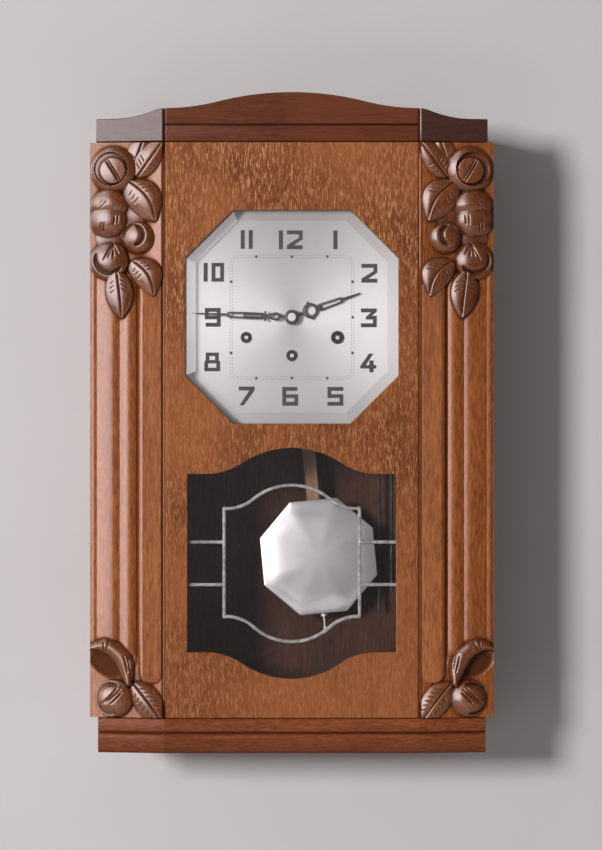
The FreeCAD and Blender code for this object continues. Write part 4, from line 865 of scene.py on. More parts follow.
# %% Upper spray
BOWL_FLOOR, DISC_RISE, DISC_DOME = 0.38, 0.86, 1.2
UPPER_LEAVES = (
    ((44.5, 33.0), (69.5, -1.0), (14.0, 19.0), 6.4),
    ((41.0, 25.0), (52.5, -8.0), (13.0, 15.0), 5.2, -0.6, 0.0, 2),
    ((37.0, 37.0), (62.4, 74.0), (25.0, 19.0), 7.4, 1.0, 5.5),
    ((40.0, 111.0), (60.9, 144.6), (19.0, 19.0), 6.0, 2.6, 5.5),
    ((25.5, 121.0), (30.4, 165.0), (18.0, 17.5), 5.0, 4.4, 0.5),
)
BED_SPOTS = ((22.0, 30.0), (20.0, 60.0), (18.0, 90.0), (20.0, 118.0), (40.0, 84.0), (44.0, 66.0))
BED_RADIUS = 13.0
CAP_CUTS = (((8.0, 60.0), (14.0, 53.0)), ((10.5, 62.0), (17.0, 55.0)))
STROKE_TOPS = ((24.0, 69.0), (27.2, 69.0), (11.2, 76.0), (13.8, 76.0))
FAN_FOOT = (22.0, 95.0)
FAN_ENDS = ((13.0, 111.0), (18.0, 108.0), (23.0, 107.5), (27.5, 105.0))


def bowl_fruit(s, t, centre, radius, rise, bowl, bowl_radius, disc, disc_radius):
    """A fruit with a round bowl cut in its face and a disc left standing in it."""
    height = fruit(s, t, centre, radius, rise)
    to_bowl = np.hypot(s - bowl[0], t - bowl[1])
    to_disc = np.hypot(s - disc[0], t - disc[1])
    floor = rise * BOWL_FLOOR
    stand = rise * DISC_RISE - floor + DISC_DOME * (1 - (to_disc / disc_radius) ** 2)
    inner = floor + stand * (1 - ease(to_disc, disc_radius - 1.2, disc_radius + 0.5))
    share = 1 - ease(to_bowl, bowl_radius - 0.7, bowl_radius + 0.7)
    return np.where(height > BELOW / 2, height * (1 - share) + inner * share, BELOW)


def upper_spray(s, t):
    """Four fruits and five leaves."""
    first = bowl_fruit(s, t, (22.5, 25.7), 22.3, 12.0, (19.9, 25.2), 15.6, (22.2, 26.9), 12.9)
    first = first - slit(s, t, (15.2, 17.2), (28.6, 38.6), 0.75, 1.9)
    first = first - slit(s, t, (17.6, 16.6), (30.4, 37.2), 0.6, 1.6)
    cap = fruit(s, t, (18.6, 61.5), 19.0, 11.4) - 2.6 * ease(t, 58.0, 67.5)
    cap = cut(cap, s, t, CAP_CUTS, 0.7, 0.8)
    second = fruit(s, t, (17.7, 72.4), 18.0, 11.0)
    second = cut(second, s, t, [((x, top), (x - 0.6, top + 8.5)) for x, top in STROKE_TOPS], 0.7, 1.3)
    third = fruit(s, t, (45.7, 89.6), 15.5, 10.6)
    third = third - crescent(s, t, (40.6, 87.2), 9.6, -75.0, 80.0, 1.5, 4.6)
    fourth = fruit(s, t, (18.6, 111.4), 18.9, 11.4)
    fourth = fourth - crescent(s, t, (18.6, 109.4), 13.2, 30.0, 205.0, 1.6, 4.6)
    fourth = cut(fourth, s, t, [(FAN_FOOT, end) for end in FAN_ENDS], 0.8, 1.5)
    leaves = [leaf(s, t, *values) for values in UPPER_LEAVES]
    bed = bedding(s, t, BED_SPOTS, BED_RADIUS)
    return np.maximum.reduce([first, second, cap, third, fourth, bed, *leaves])


# %% [markdown]
# ## Lower spray
# A fruit with three slits and a long crescent hangs under a leaf that curls over a dark hollow, and a
# pointed leaf reaches to the corner. The curl is a ridge along a bent line of points, each with its
# half-width.

# %% Lower spray
CURL = (
    (1.5, 474.0, 2.8), (8.0, 472.2, 5.2), (15.0, 472.0, 7.2), (22.5, 475.5, 8.2), (29.0, 481.5, 8.8),
    (33.5, 490.0, 8.8), (35.5, 499.0, 6.6), (36.6, 507.0, 3.6),
)
CURL_RISE = 10.0
CURL_CUTS = (1.75, 2.25)
BALL_CUTS = (((11.8, 526.6), (26.2, 511.4)), ((15.2, 525.4), (29.4, 512.6)), ((20.4, 525.8), (30.6, 515.6)))
HOLLOW_CENTRE = (15.5, 490.0)
HOLLOW_HALVES = (20.0, 11.0)
HOLLOW_TURN = math.radians(36.0)
HOLLOW_DEPTH = 2.8


def curled_leaf(s, t):
    """A leaf that curls over a dark hollow."""
    best = np.full(np.shape(s), 9.0)
    along_at = np.zeros(np.shape(s))
    for index, (a, b) in enumerate(zip(CURL, CURL[1:])):
        share, off = beside(s, t, a, b)
        off = off / (a[2] + share * (b[2] - a[2]))
        along_at = np.where(off < best, index + share, along_at)
        best = np.minimum(best, off)
    height = CURL_RISE * swelling(best)
    for foot in CURL_CUTS:
        height = height - 1.2 * notch(along_at - foot, 0.06) * (1 - ease(best, 0.5, 0.75))
    height = height - slit(s, t, (32.5, 481.0), (36.0, 497.0), 0.7, 1.6)
    height = height - slit(s, t, (36.5, 482.0), (38.6, 495.0), 0.6, 1.2)
    return np.where(best < 1.0, height, BELOW)


def lower_spray(s, t):
    """One fruit under a curled leaf, and a pointed leaf beside it."""
    ball = fruit(s, t, (23.2, 521.6), 18.4, 11.6)
    ball = ball - crescent(s, t, (20.6, 521.6), 14.0, 75.0, 300.0, 1.6, 4.8)
    ball = cut(ball, s, t, BALL_CUTS, 0.7, 1.8)
    side_leaf = leaf(s, t, (40.5, 507.0), (70.0, 546.0), (18.0, 18.0), 6.6, 0.0, 1.0, 6)
    return np.maximum.reduce([ball, curled_leaf(s, t), side_leaf])


def hollow_ground(s, t):
    """Depth of the dark hollow cut into the ground under the curled leaf."""
    ds, dt = s - HOLLOW_CENTRE[0], t - HOLLOW_CENTRE[1]
    along = ds * math.cos(HOLLOW_TURN) + dt * math.sin(HOLLOW_TURN)
    off = dt * math.cos(HOLLOW_TURN) - ds * math.sin(HOLLOW_TURN)
    return HOLLOW_DEPTH * (1 - ease(np.hypot(along / HOLLOW_HALVES[0], off / HOLLOW_HALVES[1]), 0.7, 1.0))


def ground(s, t):
    """Height of the pilaster itself, without the sprays."""
    return reed_height(s, t) - hollow_ground(s, t)


# %% [markdown]
# ## From height map to wood
# The relief becomes a mesh on a fine grid. Only the cells where a spray stands out are kept, and they are
# closed with a rim and a back that lie inside the pilaster, so the carving is a solid of its own. The
# difference between a point's height and the mean height round it says how deep it lies in a hollow, which
# the finish darkens as painted shade, together with the dark of old polish and dust.

# %% Height maps to meshes
STEP = 0.5
SPRAY_ACROSS = (0.3, 68.7)
SPRAY_EDGE, SPRAY_BACK = -1.2, -1.6
CARVED_CRISP = 50.0


def blurred(heights, cells, times=2):
    """A box blur, run more than once to make it smooth."""
    width = 2 * cells + 1
    for axis in (0, 1):
        heights = np.moveaxis(heights, axis, 0)
        for _ in range(times):
            total = np.cumsum(np.pad(heights, ((cells + 1, cells), (0, 0)), mode="edge"), axis=0)
            heights = (total[width:] - total[:-width]) / width
        heights = np.moveaxis(heights, 0, axis)
    return heights


def depth_below(heights, cells, own, slack, depth):
    """How far a surface lies below the mean height round it, from 0 to 1."""
    return np.clip((blurred(heights, cells) - own - slack) / depth, 0.0, 1.0)


def grid_corners(values):
    """The values at the four corners of each cell of a grid."""
    return np.stack([values[:-1, :-1], values[:-1, 1:], values[1:, 1:], values[1:, :-1]], axis=-1)


def on_door(side, s, t, height):
    """Points on one pilaster: side is -1 for the left and 1 for the right."""
    run = PILASTER - s
    places = [side * (PANEL_HALF + run), DOOR_FRONT + run * CANT - height, DOOR_TOP - t]
    return np.stack(places, axis=-1).reshape(-1, 3)


def spray_mesh(name, side, shape, low, high):
    """The closed mesh of one carved spray between two values of t."""
    s, t = np.meshgrid(np.arange(*SPRAY_ACROSS, STEP), np.arange(low, high, STEP))
    relief = shape(s, t)
    whole = np.maximum(relief, ground(s, t))
    # Painted shade, with the dark of old polish and dust: near darkens cuts and narrow grooves, wide the
    # ground and low wood between the forms.
    near = depth_below(whole, 3, whole, slack=0.06, depth=0.8)
    wide = depth_below(whole, 12, whole, slack=0.4, depth=2.5)
    hollow = np.maximum(near, wide * 0.95)
    front = on_door(side, s, t, np.maximum(relief, SPRAY_EDGE))
    back = on_door(side, s, t, np.full(s.shape, SPRAY_BACK))
    count = s.size
    corners = grid_corners(np.arange(count).reshape(s.shape))
    kept = grid_corners(relief).max(axis=-1) > 0.0
    faces = [corners[kept], corners[kept][:, ::-1] + count]
    for rows, columns, first, last in ((0, -1, 3, 0), (0, 1, 1, 2), (-1, 0, 0, 1), (1, 0, 2, 3)):
        neighbour = np.roll(np.pad(kept, 1), (-rows, -columns), axis=(0, 1))[1:-1, 1:-1]
        edge = corners[kept & ~neighbour]
        a, b = edge[:, first], edge[:, last]
        faces.append(np.stack([b, a, a + count, b + count], axis=-1))
    used, faces = np.unique(np.concatenate(faces), return_inverse=True)
    mesh = mesh_from(name, np.concatenate([front, back])[used].tolist(), faces.reshape(-1, 4).tolist())
    darkened(mesh, np.concatenate([hollow.ravel(), np.ones(count)])[used])
    return outward(mesh, merge=False)


SPRAYS = (("upper", upper_spray, 0.6, 168.0), ("lower", lower_spray, 463.0, 539.2))
for side, hand_side in ((-1, "left"), (1, "right")):
    for level, shape, low, high in SPRAYS:
        name = f"{hand_side}_{level}_spray"
        mesh = spray_mesh(name, side, shape, low, high)
        piece(name, mesh, "door", carved_wood, "carved_wood", f"{level}_carvings", crisp=CARVED_CRISP)

# %% [markdown]
# ## Pilasters
# The board under the sprays has the reeds planed along it. Its front is the height map of the reeds, on a
# grid that is fine near the carvings and coarse between them, where the section stays the same. Back, edges
# and ends are plain faces.

# %% Pilasters
HALFWAY = 300.0
SPRAY_ENDS = (170.0, 462.0)
PLAIN_ROWS = 14
REED_START, REED_STEP = 0.25, 0.45
SEAM_RUN, SEAM_FADE, SEAM_DIRT = 1.9, 1.5, 0.9


def pilaster_dirt(s, t):
    """How dark the pilaster is painted: painted shade beside the carvings and in the hollow under the curled
    leaf, and dirt along the seam by the panel.
    """
    own = ground(s, t)
    whole = np.maximum(np.where(t < HALFWAY, upper_spray(s, t), lower_spray(s, t)), own)
    near = depth_below(whole, 2, own, slack=0.1, depth=1.6)
    wide = depth_below(whole, 5, own, slack=0.6, depth=3.0) * 0.75
    seam = np.clip(1.2 - np.abs(PILASTER - s - SEAM_RUN) / SEAM_FADE, 0.0, SEAM_DIRT)
    return np.maximum.reduce([near, wide, seam, hollow_ground(s, t) / HOLLOW_DEPTH])


def pilaster_mesh(name, side):
    """The reeded board: a fine front, and plain back, edges and ends."""
    top, bottom = SPRAY_ENDS
    across = np.concatenate([[0.0], np.arange(REED_START, PILASTER, REED_STEP), [PILASTER]])
    down = np.concatenate([
        np.arange(0.0, top), np.linspace(top, bottom, PLAIN_ROWS), np.arange(bottom + 1.0, DOOR_HEIGHT),
        [DOOR_HEIGHT],
    ])
    s, t = np.meshgrid(across, down)
    fine = np.arange(0.0, DOOR_HEIGHT + 1.0)
    # Painted shade beside the carvings and in the hollow, and dirt along the seam.
    deep = pilaster_dirt(*np.meshgrid(across, fine))
    hollow = np.stack([np.interp(down, fine, column) for column in deep.T], axis=-1)
    number = np.arange(s.size).reshape(s.shape)
    edges = [number[0, :], number[:, -1], number[-1, ::-1], number[::-1, 0]]
    front = on_door(side, s, t, ground(s, t))
    back = front[[edge[0] for edge in edges]]
    back[:, 1] = DOOR_BACK
    base = len(front)
    faces = grid_corners(number).reshape(-1, 4).tolist()
    faces.append([base + i for i in range(4)])
    for index, edge in enumerate(edges):
        faces.append(edge.tolist() + [base + (index + 1) % 4, base + index])
    mesh = mesh_from(name, np.concatenate([front, back]).tolist(), faces)
    darkened(mesh, np.concatenate([hollow.ravel(), np.zeros(4)]))
    return outward(mesh, merge=False)


for side, node in ((-1, "left_pilaster"), (1, "right_pilaster")):
    name = node + "_reeds"
    piece(name, pilaster_mesh(name, side), "door", reeded_wood, "carved_wood", node, crisp=CARVED_CRISP)

# %% [markdown]
# ## Plinth moulding
# Under the door runs a moulding in three lengths, the outer two leaning back with the pilasters. It has a
# flat fillet, a groove and a swelling lower part that falls away towards the wall. A moulding is planed to
# one section all along, so one line of points, from the back over the front to the bottom, is swept along
# each length. The last number of each point says how dark the wood is painted there: painted shade in the
# groove, and darker towards the bottom of the lower part.

# %% Plinth
PLINTH_TOP = -500.3
PLINTH_HALF = 182.2
BOX_FRONT = -125.0
# The third number of each point is how dark the wood is painted: painted shade in the groove, darker towards
# the bottom of the lower part.
PLINTH_SECTION = (
    (None, 0.0, 0.0), (2.9, 0.0, 0.0), (2.3, -0.3, 0.0), (2.0, -0.9, 0.0), (2.0, -6.0, 0.0),
    (2.0, -11.4, 0.1), (2.3, -12.2, 0.5), (4.0, -12.6, 0.95), (4.0, -14.2, 0.95), (2.4, -14.3, 0.3),
    (1.1, -14.9, 0.0), (0.4, -16.0, 0.0), (0.0, -17.6, 0.15), (0.0, -19.5, 0.3), (0.2, -22.5, 0.36),
    (0.7, -26.0, 0.38),
    (1.6, -29.4, 0.42), (2.8, -31.6, 0.5), (4.2, -32.7, 0.55), (6.0, -32.9, 0.6), (None, -32.9, 0.6),
)
PLINTH_TURNS = (-PLINTH_HALF, -PANEL_HALF, PANEL_HALF, PLINTH_HALF)


def plinth_mesh(name):
    """Three closed lengths of moulding between the places where it turns."""
    points, faces, darkening = [], [], []
    count = len(PLINTH_SECTION)
    for ends in zip(PLINTH_TURNS, PLINTH_TURNS[1:]):
        base = len(points)
        for x in ends:
            front = DOOR_FRONT + max(0.0, abs(x) - PANEL_HALF) * CANT
            for depth, drop, mark in PLINTH_SECTION:
                points.append((x, BOX_FRONT if depth is None else front + depth, PLINTH_TOP + drop))
                darkening.append(mark)
        faces += ring_faces(2, count, base)
        faces += [tuple(range(base, base + count)), tuple(range(base + count, base + 2 * count))]
    return outward(darkened(mesh_from(name, points, faces), darkening), merge=False)


moulding = plinth_mesh("plinth_moulding")
piece("plinth_moulding", moulding, "case", plinth_wood, "red_wood", "plinth", crisp=38.0)

# %% [markdown]
# ## Leaded window
# Lead cames are soft strips, rounded by rubbing down, that bend to the pattern and are joined with blobs of
# solder. Geometry Nodes sweep an oblong section with rounded corners along each line. Noise makes it a
# little uneven, which gives that hand-made look better than a straight extrusion.

# %% Lead cames
WINDOW_HALF = 97.9
CARTOUCHE = (63.6, -404.9, -428.6, -303.7, -281.6, 2.0)
BARS = (-335.0, -375.0)
BAR_ENDS = (64.0, WINDOW_HALF - 0.2)
CAME_Y = -137.5
SIDE_STEPS = 20
LEAD_CRISP = 60.0


def ogee_points(start, end, share=0.42, steps=14):
    """Points along two arcs joined in an S, level at both ends."""
    turn = 2 * math.atan2(abs(end[1] - start[1]), abs(end[0] - start[0]))
    joint = [a + share * (b - a) for a, b in zip(start, end)]
    angles = [turn * i / steps for i in range(steps + 1)]
    halves = []
    for foot in (start, end):
        radius = math.dist(foot, joint) / 2 / math.sin(turn / 2)
        across = math.copysign(radius, joint[0] - foot[0])
        rise = math.copysign(radius, joint[1] - foot[1])
        halves.append([(foot[0] + across * math.sin(a), foot[1] + rise * (1 - math.cos(a))) for a in angles])
    return halves[0] + halves[1][-2::-1]


def arched_outline(half, low, low_peak, high, high_peak, level):
    """A closed outline with level shoulders and an arch at top and bottom, clockwise from the lower left."""
    rise = [(-half, low + (high - low) * i / SIDE_STEPS) for i in range(SIDE_STEPS + 1)]
    top_left = ogee_points((level - half, high), (0.0, high_peak))
    low_right = ogee_points((half - level, low), (0.0, low_peak))
    top, bottom = [arch + [(-x, z) for x, z in arch[-2::-1]] for arch in (top_left, low_right)]
    return rise + top + [(-x, z) for x, z in rise[::-1]] + bottom


class Growth(Nodes):
    """A Geometry Nodes tree with named inputs."""

    def __init__(self, name, **kinds):
        super().__init__(bpy.data.node_groups.new(name, "GeometryNodeTree"))
        for label, kind in kinds.items():
            self.tree.interface.new_socket(label, in_out="INPUT", socket_type="NodeSocket" + kind)
        self.tree.interface.new_socket("Geometry", in_out="OUTPUT", socket_type="NodeSocketGeometry")
        self.given = self.add("NodeGroupInput").outputs

    def made(self, kind, inputs=None, **settings):
        return self.add(kind, inputs, **settings).outputs[0]

    def oblong(self, width, height, corner, steps):
        flat = self.made("GeometryNodeCurvePrimitiveQuadrilateral", {"Width": width, "Height": height})
        inputs = {"Curve": flat, "Radius": corner, "Count": steps}
        return self.made("GeometryNodeFilletCurve", inputs, mode="POLY")

    def real(self, geometry):
        return self.made("GeometryNodeRealizeInstances", {0: geometry})

    def upright(self, geometry, **place):
        inputs = {"Geometry": self.real(geometry), "Translation": self.made("CombineXYZ", place)}
        inputs["Rotation"] = (math.pi / 2, 0.0, 0.0)
        return self.made("GeometryNodeTransform", inputs)

    def painted(self, geometry, material):
        paint = self.made("GeometryNodeSetMaterial", {"Geometry": geometry, "Material": material})
        self.add("NodeGroupOutput", {"Geometry": paint})
        return self.tree


def lead_strip_tree(name, material):
    """A node tree: a slightly uneven strip along every line of the mesh it is given."""
    sizes = ("Spacing", "Width", "Thickness", "Corner", "Unevenness", "Depth")
    grow = Growth(name, Geometry="Geometry", **dict.fromkeys(sizes, "Float"))
    given = grow.given
    line = grow.made("GeometryNodeMeshToCurve", {"Mesh": given["Geometry"]})
    line = grow.made("GeometryNodeResampleCurve", {"Curve": line, "Length": given["Spacing"]}, mode="LENGTH")
    line = grow.made("GeometryNodeSetCurveNormal", {"Curve": line}, mode="Z_UP")
    section = grow.oblong(given["Width"], given["Thickness"], given["Corner"], steps=3)
    swell = grow.math("MULTIPLY_ADD", grow.made("TexNoise", {"Scale": 130.0}), given["Unevenness"], 0.8)
    inputs = {"Curve": line, "Profile Curve": section, "Scale": swell, "Fill Caps": True}
    strip = grow.made("GeometryNodeCurveToMesh", inputs)
    return grow.painted(grow.upright(strip, Y=given["Depth"]), material)


def as_mesh(holder):
    """What an object comes to, as a plain mesh; the object is used up."""
    scene.collection.objects.link(holder)
    bpy.context.view_layer.update()
    mesh = bpy.data.meshes.new_from_object(holder.evaluated_get(bpy.context.evaluated_depsgraph_get()))
    bpy.data.objects.remove(holder)
    return mesh


def grown(name, tree, values, start=None):
    """Runs a node tree with its inputs and returns the result as a plain mesh."""
    holder = bpy.data.objects.new(name, start or bpy.data.meshes.new(name))
    modifier = holder.modifiers.new("grow", "NODES")
    modifier.node_group = tree
    for item in tree.interface.items_tree:
        if item.in_out == "INPUT" and item.name in values:
            modifier[item.identifier] = values[item.name]
    return as_mesh(holder)


def line_mesh(name, lines):
    """A mesh of edges only, flat on the ground, from (points, closed) lines in millimetres."""
    points, edges = [], []
    for line, closed in lines:
        base, count = len(points), len(line)
        points += [(x * MM, z * MM, 0.0) for x, z in line]
        edges += [(base + i, base + (i + 1) % count) for i in range(count if closed else count - 1)]
    mesh = bpy.data.meshes.new(name)
    mesh.from_pydata(points, edges, [])
    return mesh


lines = [(arched_outline(*CARTOUCHE), True)]
for height in BARS:
    for side in (-1, 1):
        lines.append(([(side * x, height) for x in BAR_ENDS], False))
strip_sizes = {
    "Spacing": 1.8 * MM, "Width": 3.2 * MM, "Thickness": 4.8 * MM, "Corner": 0.8 * MM, "Unevenness": 0.4,
    "Depth": CAME_Y * MM,
}
strips = grown("lead_cames", lead_strip_tree("lead_strip", lead), strip_sizes, line_mesh("lines", lines))
piece("lead_cames", outward(strips), "door", lead, "lead", "window_cames", crisp=LEAD_CRISP)

# %% [markdown]
# ## Solder and screws
# Where cames meet, a drop of solder has set, and each hinge leaf is held by slotted brass screws. Drops
# differ a little in size, and slots stop at any angle. Both are small turned shapes that a node tree sets
# on points, with a seeded spin and size.

# %% Solder and screws
SLOT_HALF, SLOT_DEPTH = 0.28, 0.5
FRONT = (0.0, -1.0, 0.0)
DROP = [(2.3 * math.sin(math.pi * i / 10), -2.5 * math.cos(math.pi * i / 10)) for i in range(1, 10)]
BAR_JOINT, CORNER_JOINT = 64.3, 63.0
SCREW_HEAD = ((0.2, -0.3), (1.9, -0.3), (1.9, 0.15), (1.5, 0.45), (0.8, 0.6), (0.2, 0.62))
HINGE_HEIGHTS = (-20.0, -440.0)
LEAF_SCREWS = (
    ("case_leaf", "case", 177.5, -108.0, (-17.0, 0.0, 17.0), (1.0, 0.0, 0.0)),
    ("door_leaf", "door", 186.1, -124.6, (-5.0, 5.0), (0.0, 1.0, 0.0)),
)


def scatter_tree(name, material):
    """A node tree: one shape on every point, turned to the point's facing, with a seeded spin and size."""
    grow = Growth(name, Geometry="Geometry", Shape="Object", Unevenness="Float", Spin="Float", Seed="Int")
    given = grow.given
    shape = grow.add("GeometryNodeObjectInfo", {"Object": given["Shape"]}).outputs["Geometry"]
    facing = grow.made("GeometryNodeInputNamedAttribute", {"Name": "facing"}, data_type="FLOAT_VECTOR")
    turn = grow.made("FunctionNodeAlignRotationToVector", {"Vector": facing}, axis="Z")
    chance = grow.add("FunctionNodeRandomValue", {"Seed": given["Seed"]}, data_type="FLOAT").outputs[1]
    spin = {"Axis": (0.0, 0.0, 1.0), "Angle": grow.times(chance, given["Spin"])}
    inputs = {"Rotation": turn, "Rotate By": grow.made("FunctionNodeAxisAngleToRotation", spin)}
    turn = grow.made("FunctionNodeRotateRotation", inputs, rotation_space="LOCAL")
    size = grow.math("MULTIPLY_ADD", chance, given["Unevenness"], 1.0)
    inputs = {"Points": given["Geometry"], "Instance": shape, "Rotation": turn, "Scale": size}
    return grow.painted(grow.real(grow.made("GeometryNodeInstanceOnPoints", inputs)), material)


def turned_shape(name, profile, sides, slot=0.0):
    """A round shape about its own Z axis from (radius, height) points; slot is a screw slot's half-width."""
    points = []
    for radius, height in profile:
        for k in range(sides):
            a = 2 * math.pi * (k + 0.5) / sides
            x, y = radius * math.cos(a), radius * math.sin(a)
            points.append((x, y, height - (SLOT_DEPTH if abs(y) < slot else 0.0)))
    faces = ring_faces(len(profile), sides)
    faces += [tuple(range(sides))[::-1], tuple(range(len(points) - sides, len(points)))]
    return bpy.data.objects.new(name, outward(mesh_from(name, points, faces)))


def scattered(name, shape, material, spots, unevenness, spin, seed):
    """The shape set on every (place, facing) spot, as one plain mesh."""
    start = bpy.data.meshes.new(name)
    start.from_pydata([tuple(c * MM for c in place) for place, _ in spots], [], [])
    mark = start.attributes.new("facing", "FLOAT_VECTOR", "POINT")
    mark.data.foreach_set("vector", [c for _, way in spots for c in way])
    values = {"Shape": shape, "Unevenness": unevenness, "Spin": spin, "Seed": seed}
    mesh = grown(name, scatter_tree(name, material), values, start)
    bpy.data.objects.remove(shape)
    return mesh


joints = [((side * BAR_JOINT, CAME_Y, height), FRONT) for side in (-1, 1) for height in BARS]
corner_heights = (CARTOUCHE[1], CARTOUCHE[3])
joints += [((side * CORNER_JOINT, CAME_Y, height), FRONT) for side in (-1, 1) for height in corner_heights]
drop = turned_shape("drop", DROP, sides=14)
solder = scattered("solder_joints", drop, lead, joints, unevenness=0.12, spin=3.0, seed=4)
piece("solder_joints", solder, "door", lead, "lead", crisp=LEAD_CRISP)
for leaf_name, body, x, y, rises, way in LEAF_SCREWS:
    name = leaf_name + "_screws"
    spots = [((x, y, height + rise), way) for height in HINGE_HEIGHTS for rise in rises]
    head = turned_shape("head", SCREW_HEAD, sides=20, slot=SLOT_HALF)
    heads = scattered(name, head, brass, spots, unevenness=0.04, spin=3.1, seed=7)
    piece(name, heads, body, brass, "brass")

# %% [markdown]
# ## Numerals
# The numerals are squared figures of even stroke, printed in dark ink. Each is drawn as a closed outline,
# with holes where the figure closes round a space, and filled as a flat curve.

# %% Numerals
DIAL_FRONT = -124.4
INK_DEPTH = (DIAL_FRONT - 0.15, DIAL_FRONT)
W, H, S = 15.0, 17.7, 3.7
ONE_W, ZERO_W = 3.9, 11.8
FIGURE_GAP = 3.6


def box_loop(x0, z0, x1, z1):
    """A rectangle as a closed outline."""
    return [(x0, z0), (x1, z0), (x1, z1), (x0, z1)]


FIGURES = {
    "1": (ONE_W, [box_loop(0, 0, ONE_W, H)]),
    "0": (ZERO_W, [box_loop(0, 0, ZERO_W, H), box_loop(3.7, 3.5, ZERO_W - 3.7, H - 3.5)]),
    "2": (W, [[
        (0, H), (W, H), (W, 9.4), (6.6, S), (W, S), (W, 0), (0, 0), (0, 3.8), (W - S, 10.8), (W - S, H - S),
        (0, H - S),
    ]]),
    "3": (W, [[
        (0, H), (W, H), (W, H - 3.0), (10.4, 10.8), (W, 10.8), (W, 0), (0, 0), (0, S), (W - S, S),
        (W - S, 7.3), (4.6, 7.3), (4.6, 9.6), (9.4, H - S), (0, H - S),
    ]]),
    "4": (W, [[
        (8.2, H), (12.3, H), (5.2, 6.9), (8.4, 6.9), (8.4, 11.2), (12.5, 11.2), (12.5, 6.9), (W, 6.9),
        (W, 3.6), (12.5, 3.6), (12.5, 0), (8.4, 0), (8.4, 3.6), (0, 3.6), (0, 6.2),
    ]]),
    "5": (W, [[
        (0, H), (W, H), (W, H - S), (S, H - S), (S, 10.8), (W, 10.8), (W, 0), (0, 0), (0, S), (W - S, S),
        (W - S, 7.3), (0, 7.3),
    ]]),
    "6": (W, [
        [(0, 0), (W, 0), (W, 10.7), (S, 10.7), (S, H - S), (W - 0.8, H - S), (W - 0.8, H), (0, H)],
        box_loop(S, S, W - S, 7.3),
    ]),
    "7": (W, [[(0, H), (W, H), (W, H - 3.4), (4.9, 0), (0.6, 0), (10.0, H - S), (0, H - S)]]),
    "8": (W, [
        [(0, 0), (W, 0), (W, 9.0), (W - 1.3, 10.2), (W - 1.3, H), (1.3, H), (1.3, 10.2), (0, 9.0)],
        box_loop(S, 3.4, W - S, 7.4), box_loop(S + 1.2, 10.6, W - S - 1.2, H - 3.3),
    ]),
    "9": (W, [
        [(W, H), (0, H), (0, H - 10.7), (W - S, H - 10.7), (W - S, S), (0.8, S), (0.8, 0), (W, 0)],
        box_loop(S, H - 7.3, W - S, H - S),
    ]),
}
NUMERALS = {
    12: (-1.0, 73.0), 1: (41.0, 73.0), 2: (73.0, 41.5), 3: (72.5, -0.5), 4: (72.0, -43.0), 5: (41.0, -74.4),
    6: (-1.5, -74.4), 7: (-42.5, -74.0), 8: (-75.0, -42.0), 9: (-74.5, 0.0), 10: (-73.5, 42.4),
    11: (-42.5, 73.3),
}


def filled(loops, depth, rounding=0.0):
    """A flat plate with holes from (x, z) outlines in millimetres, between two depths."""
    curve = bpy.data.curves.new("outline", "CURVE")
    curve.dimensions = "2D"
    curve.fill_mode = "BOTH"
    curve.extrude = (abs(depth[1] - depth[0]) / 2 - rounding) * MM
    curve.bevel_depth = rounding * MM
    curve.bevel_resolution = 1
    for loop in loops:
        spline = curve.splines.new("POLY")
        spline.points.add(len(loop) - 1)
        for point, (x, z) in zip(spline.points, loop):
            point.co = (x * MM, z * MM, 0.0, 1.0)
        spline.use_cyclic_u = True
    mesh = as_mesh(bpy.data.objects.new("outline", curve))
    mesh.transform(Matrix.Rotation(math.pi / 2, 4, "X"))
    mesh.transform(Matrix.Translation((0.0, sum(depth) / 2 * MM, 0.0)))
    return outward(mesh)


loops = []
for hour, (x, z) in NUMERALS.items():
    signs = str(hour)
    left = x - (sum(FIGURES[sign][0] for sign in signs) + FIGURE_GAP * (len(signs) - 1)) / 2
    for sign in signs:
        width, outlines = FIGURES[sign]
        for loop in outlines:
            loops.append([(left + px, CENTRE_Z + z - H / 2 + pz) for px, pz in loop])
        left += width + FIGURE_GAP
piece("printed_numerals", filled(loops, INK_DEPTH), "case", dial_ink, "dial_ink", "dial_numerals")

# %% [markdown]
# ## Minute track
# The track is a rounded square of two dotted hairlines with a larger dot at each five minutes. Dots that
# follow a path are work for Geometry Nodes: one tree makes a rounded square, spreads points along it and
# sets a small plate on each.

# %% Minute track
DASHES, DASH_LENGTH, DASH_WIDTH, DASH_THICKNESS = 150, 1.2, 0.42, 0.08
TRACK_LINES = ((116.4, 8.0), (112.2, 6.5))
TRACK_HALF, DOT_RADIUS = 57.2, 1.3
DOT_PLACES = (-33.5, 0.0, 33.5)


def dotted_square_tree(name, material):
    """A node tree: small plates spread along a rounded square that stands in the plane of the dial."""
    sizes = ("Side", "Corner", "Length", "Width", "Thickness", "Depth", "Middle")
    grow = Growth(name, Count="Int", **dict.fromkeys(sizes, "Float"))
    given = grow.given
    square = grow.oblong(given["Side"], given["Side"], given["Corner"], steps=8)
    spread = grow.made("GeometryNodeResampleCurve", {"Curve": square, "Count": given["Count"]})
    size = grow.made("CombineXYZ", {"X": given["Length"], "Y": given["Width"], "Z": given["Thickness"]})
    along = {"Vector": grow.made("GeometryNodeInputTangent")}
    inputs = {"Points": spread, "Instance": grow.made("GeometryNodeMeshCube", {"Size": size})}
    inputs["Rotation"] = grow.made("FunctionNodeAlignRotationToVector", along, axis="X")
    stamp = grow.made("GeometryNodeInstanceOnPoints", inputs)
    return grow.painted(grow.upright(stamp, Y=given["Depth"], Z=given["Middle"]), material)


def round_loop(x, z, radius, sides=20):
    """A circle as a closed outline."""
    angles = [2 * math.pi * i / sides for i in range(sides)]
    return [(x + radius * math.cos(a), z + radius * math.sin(a)) for a in angles]


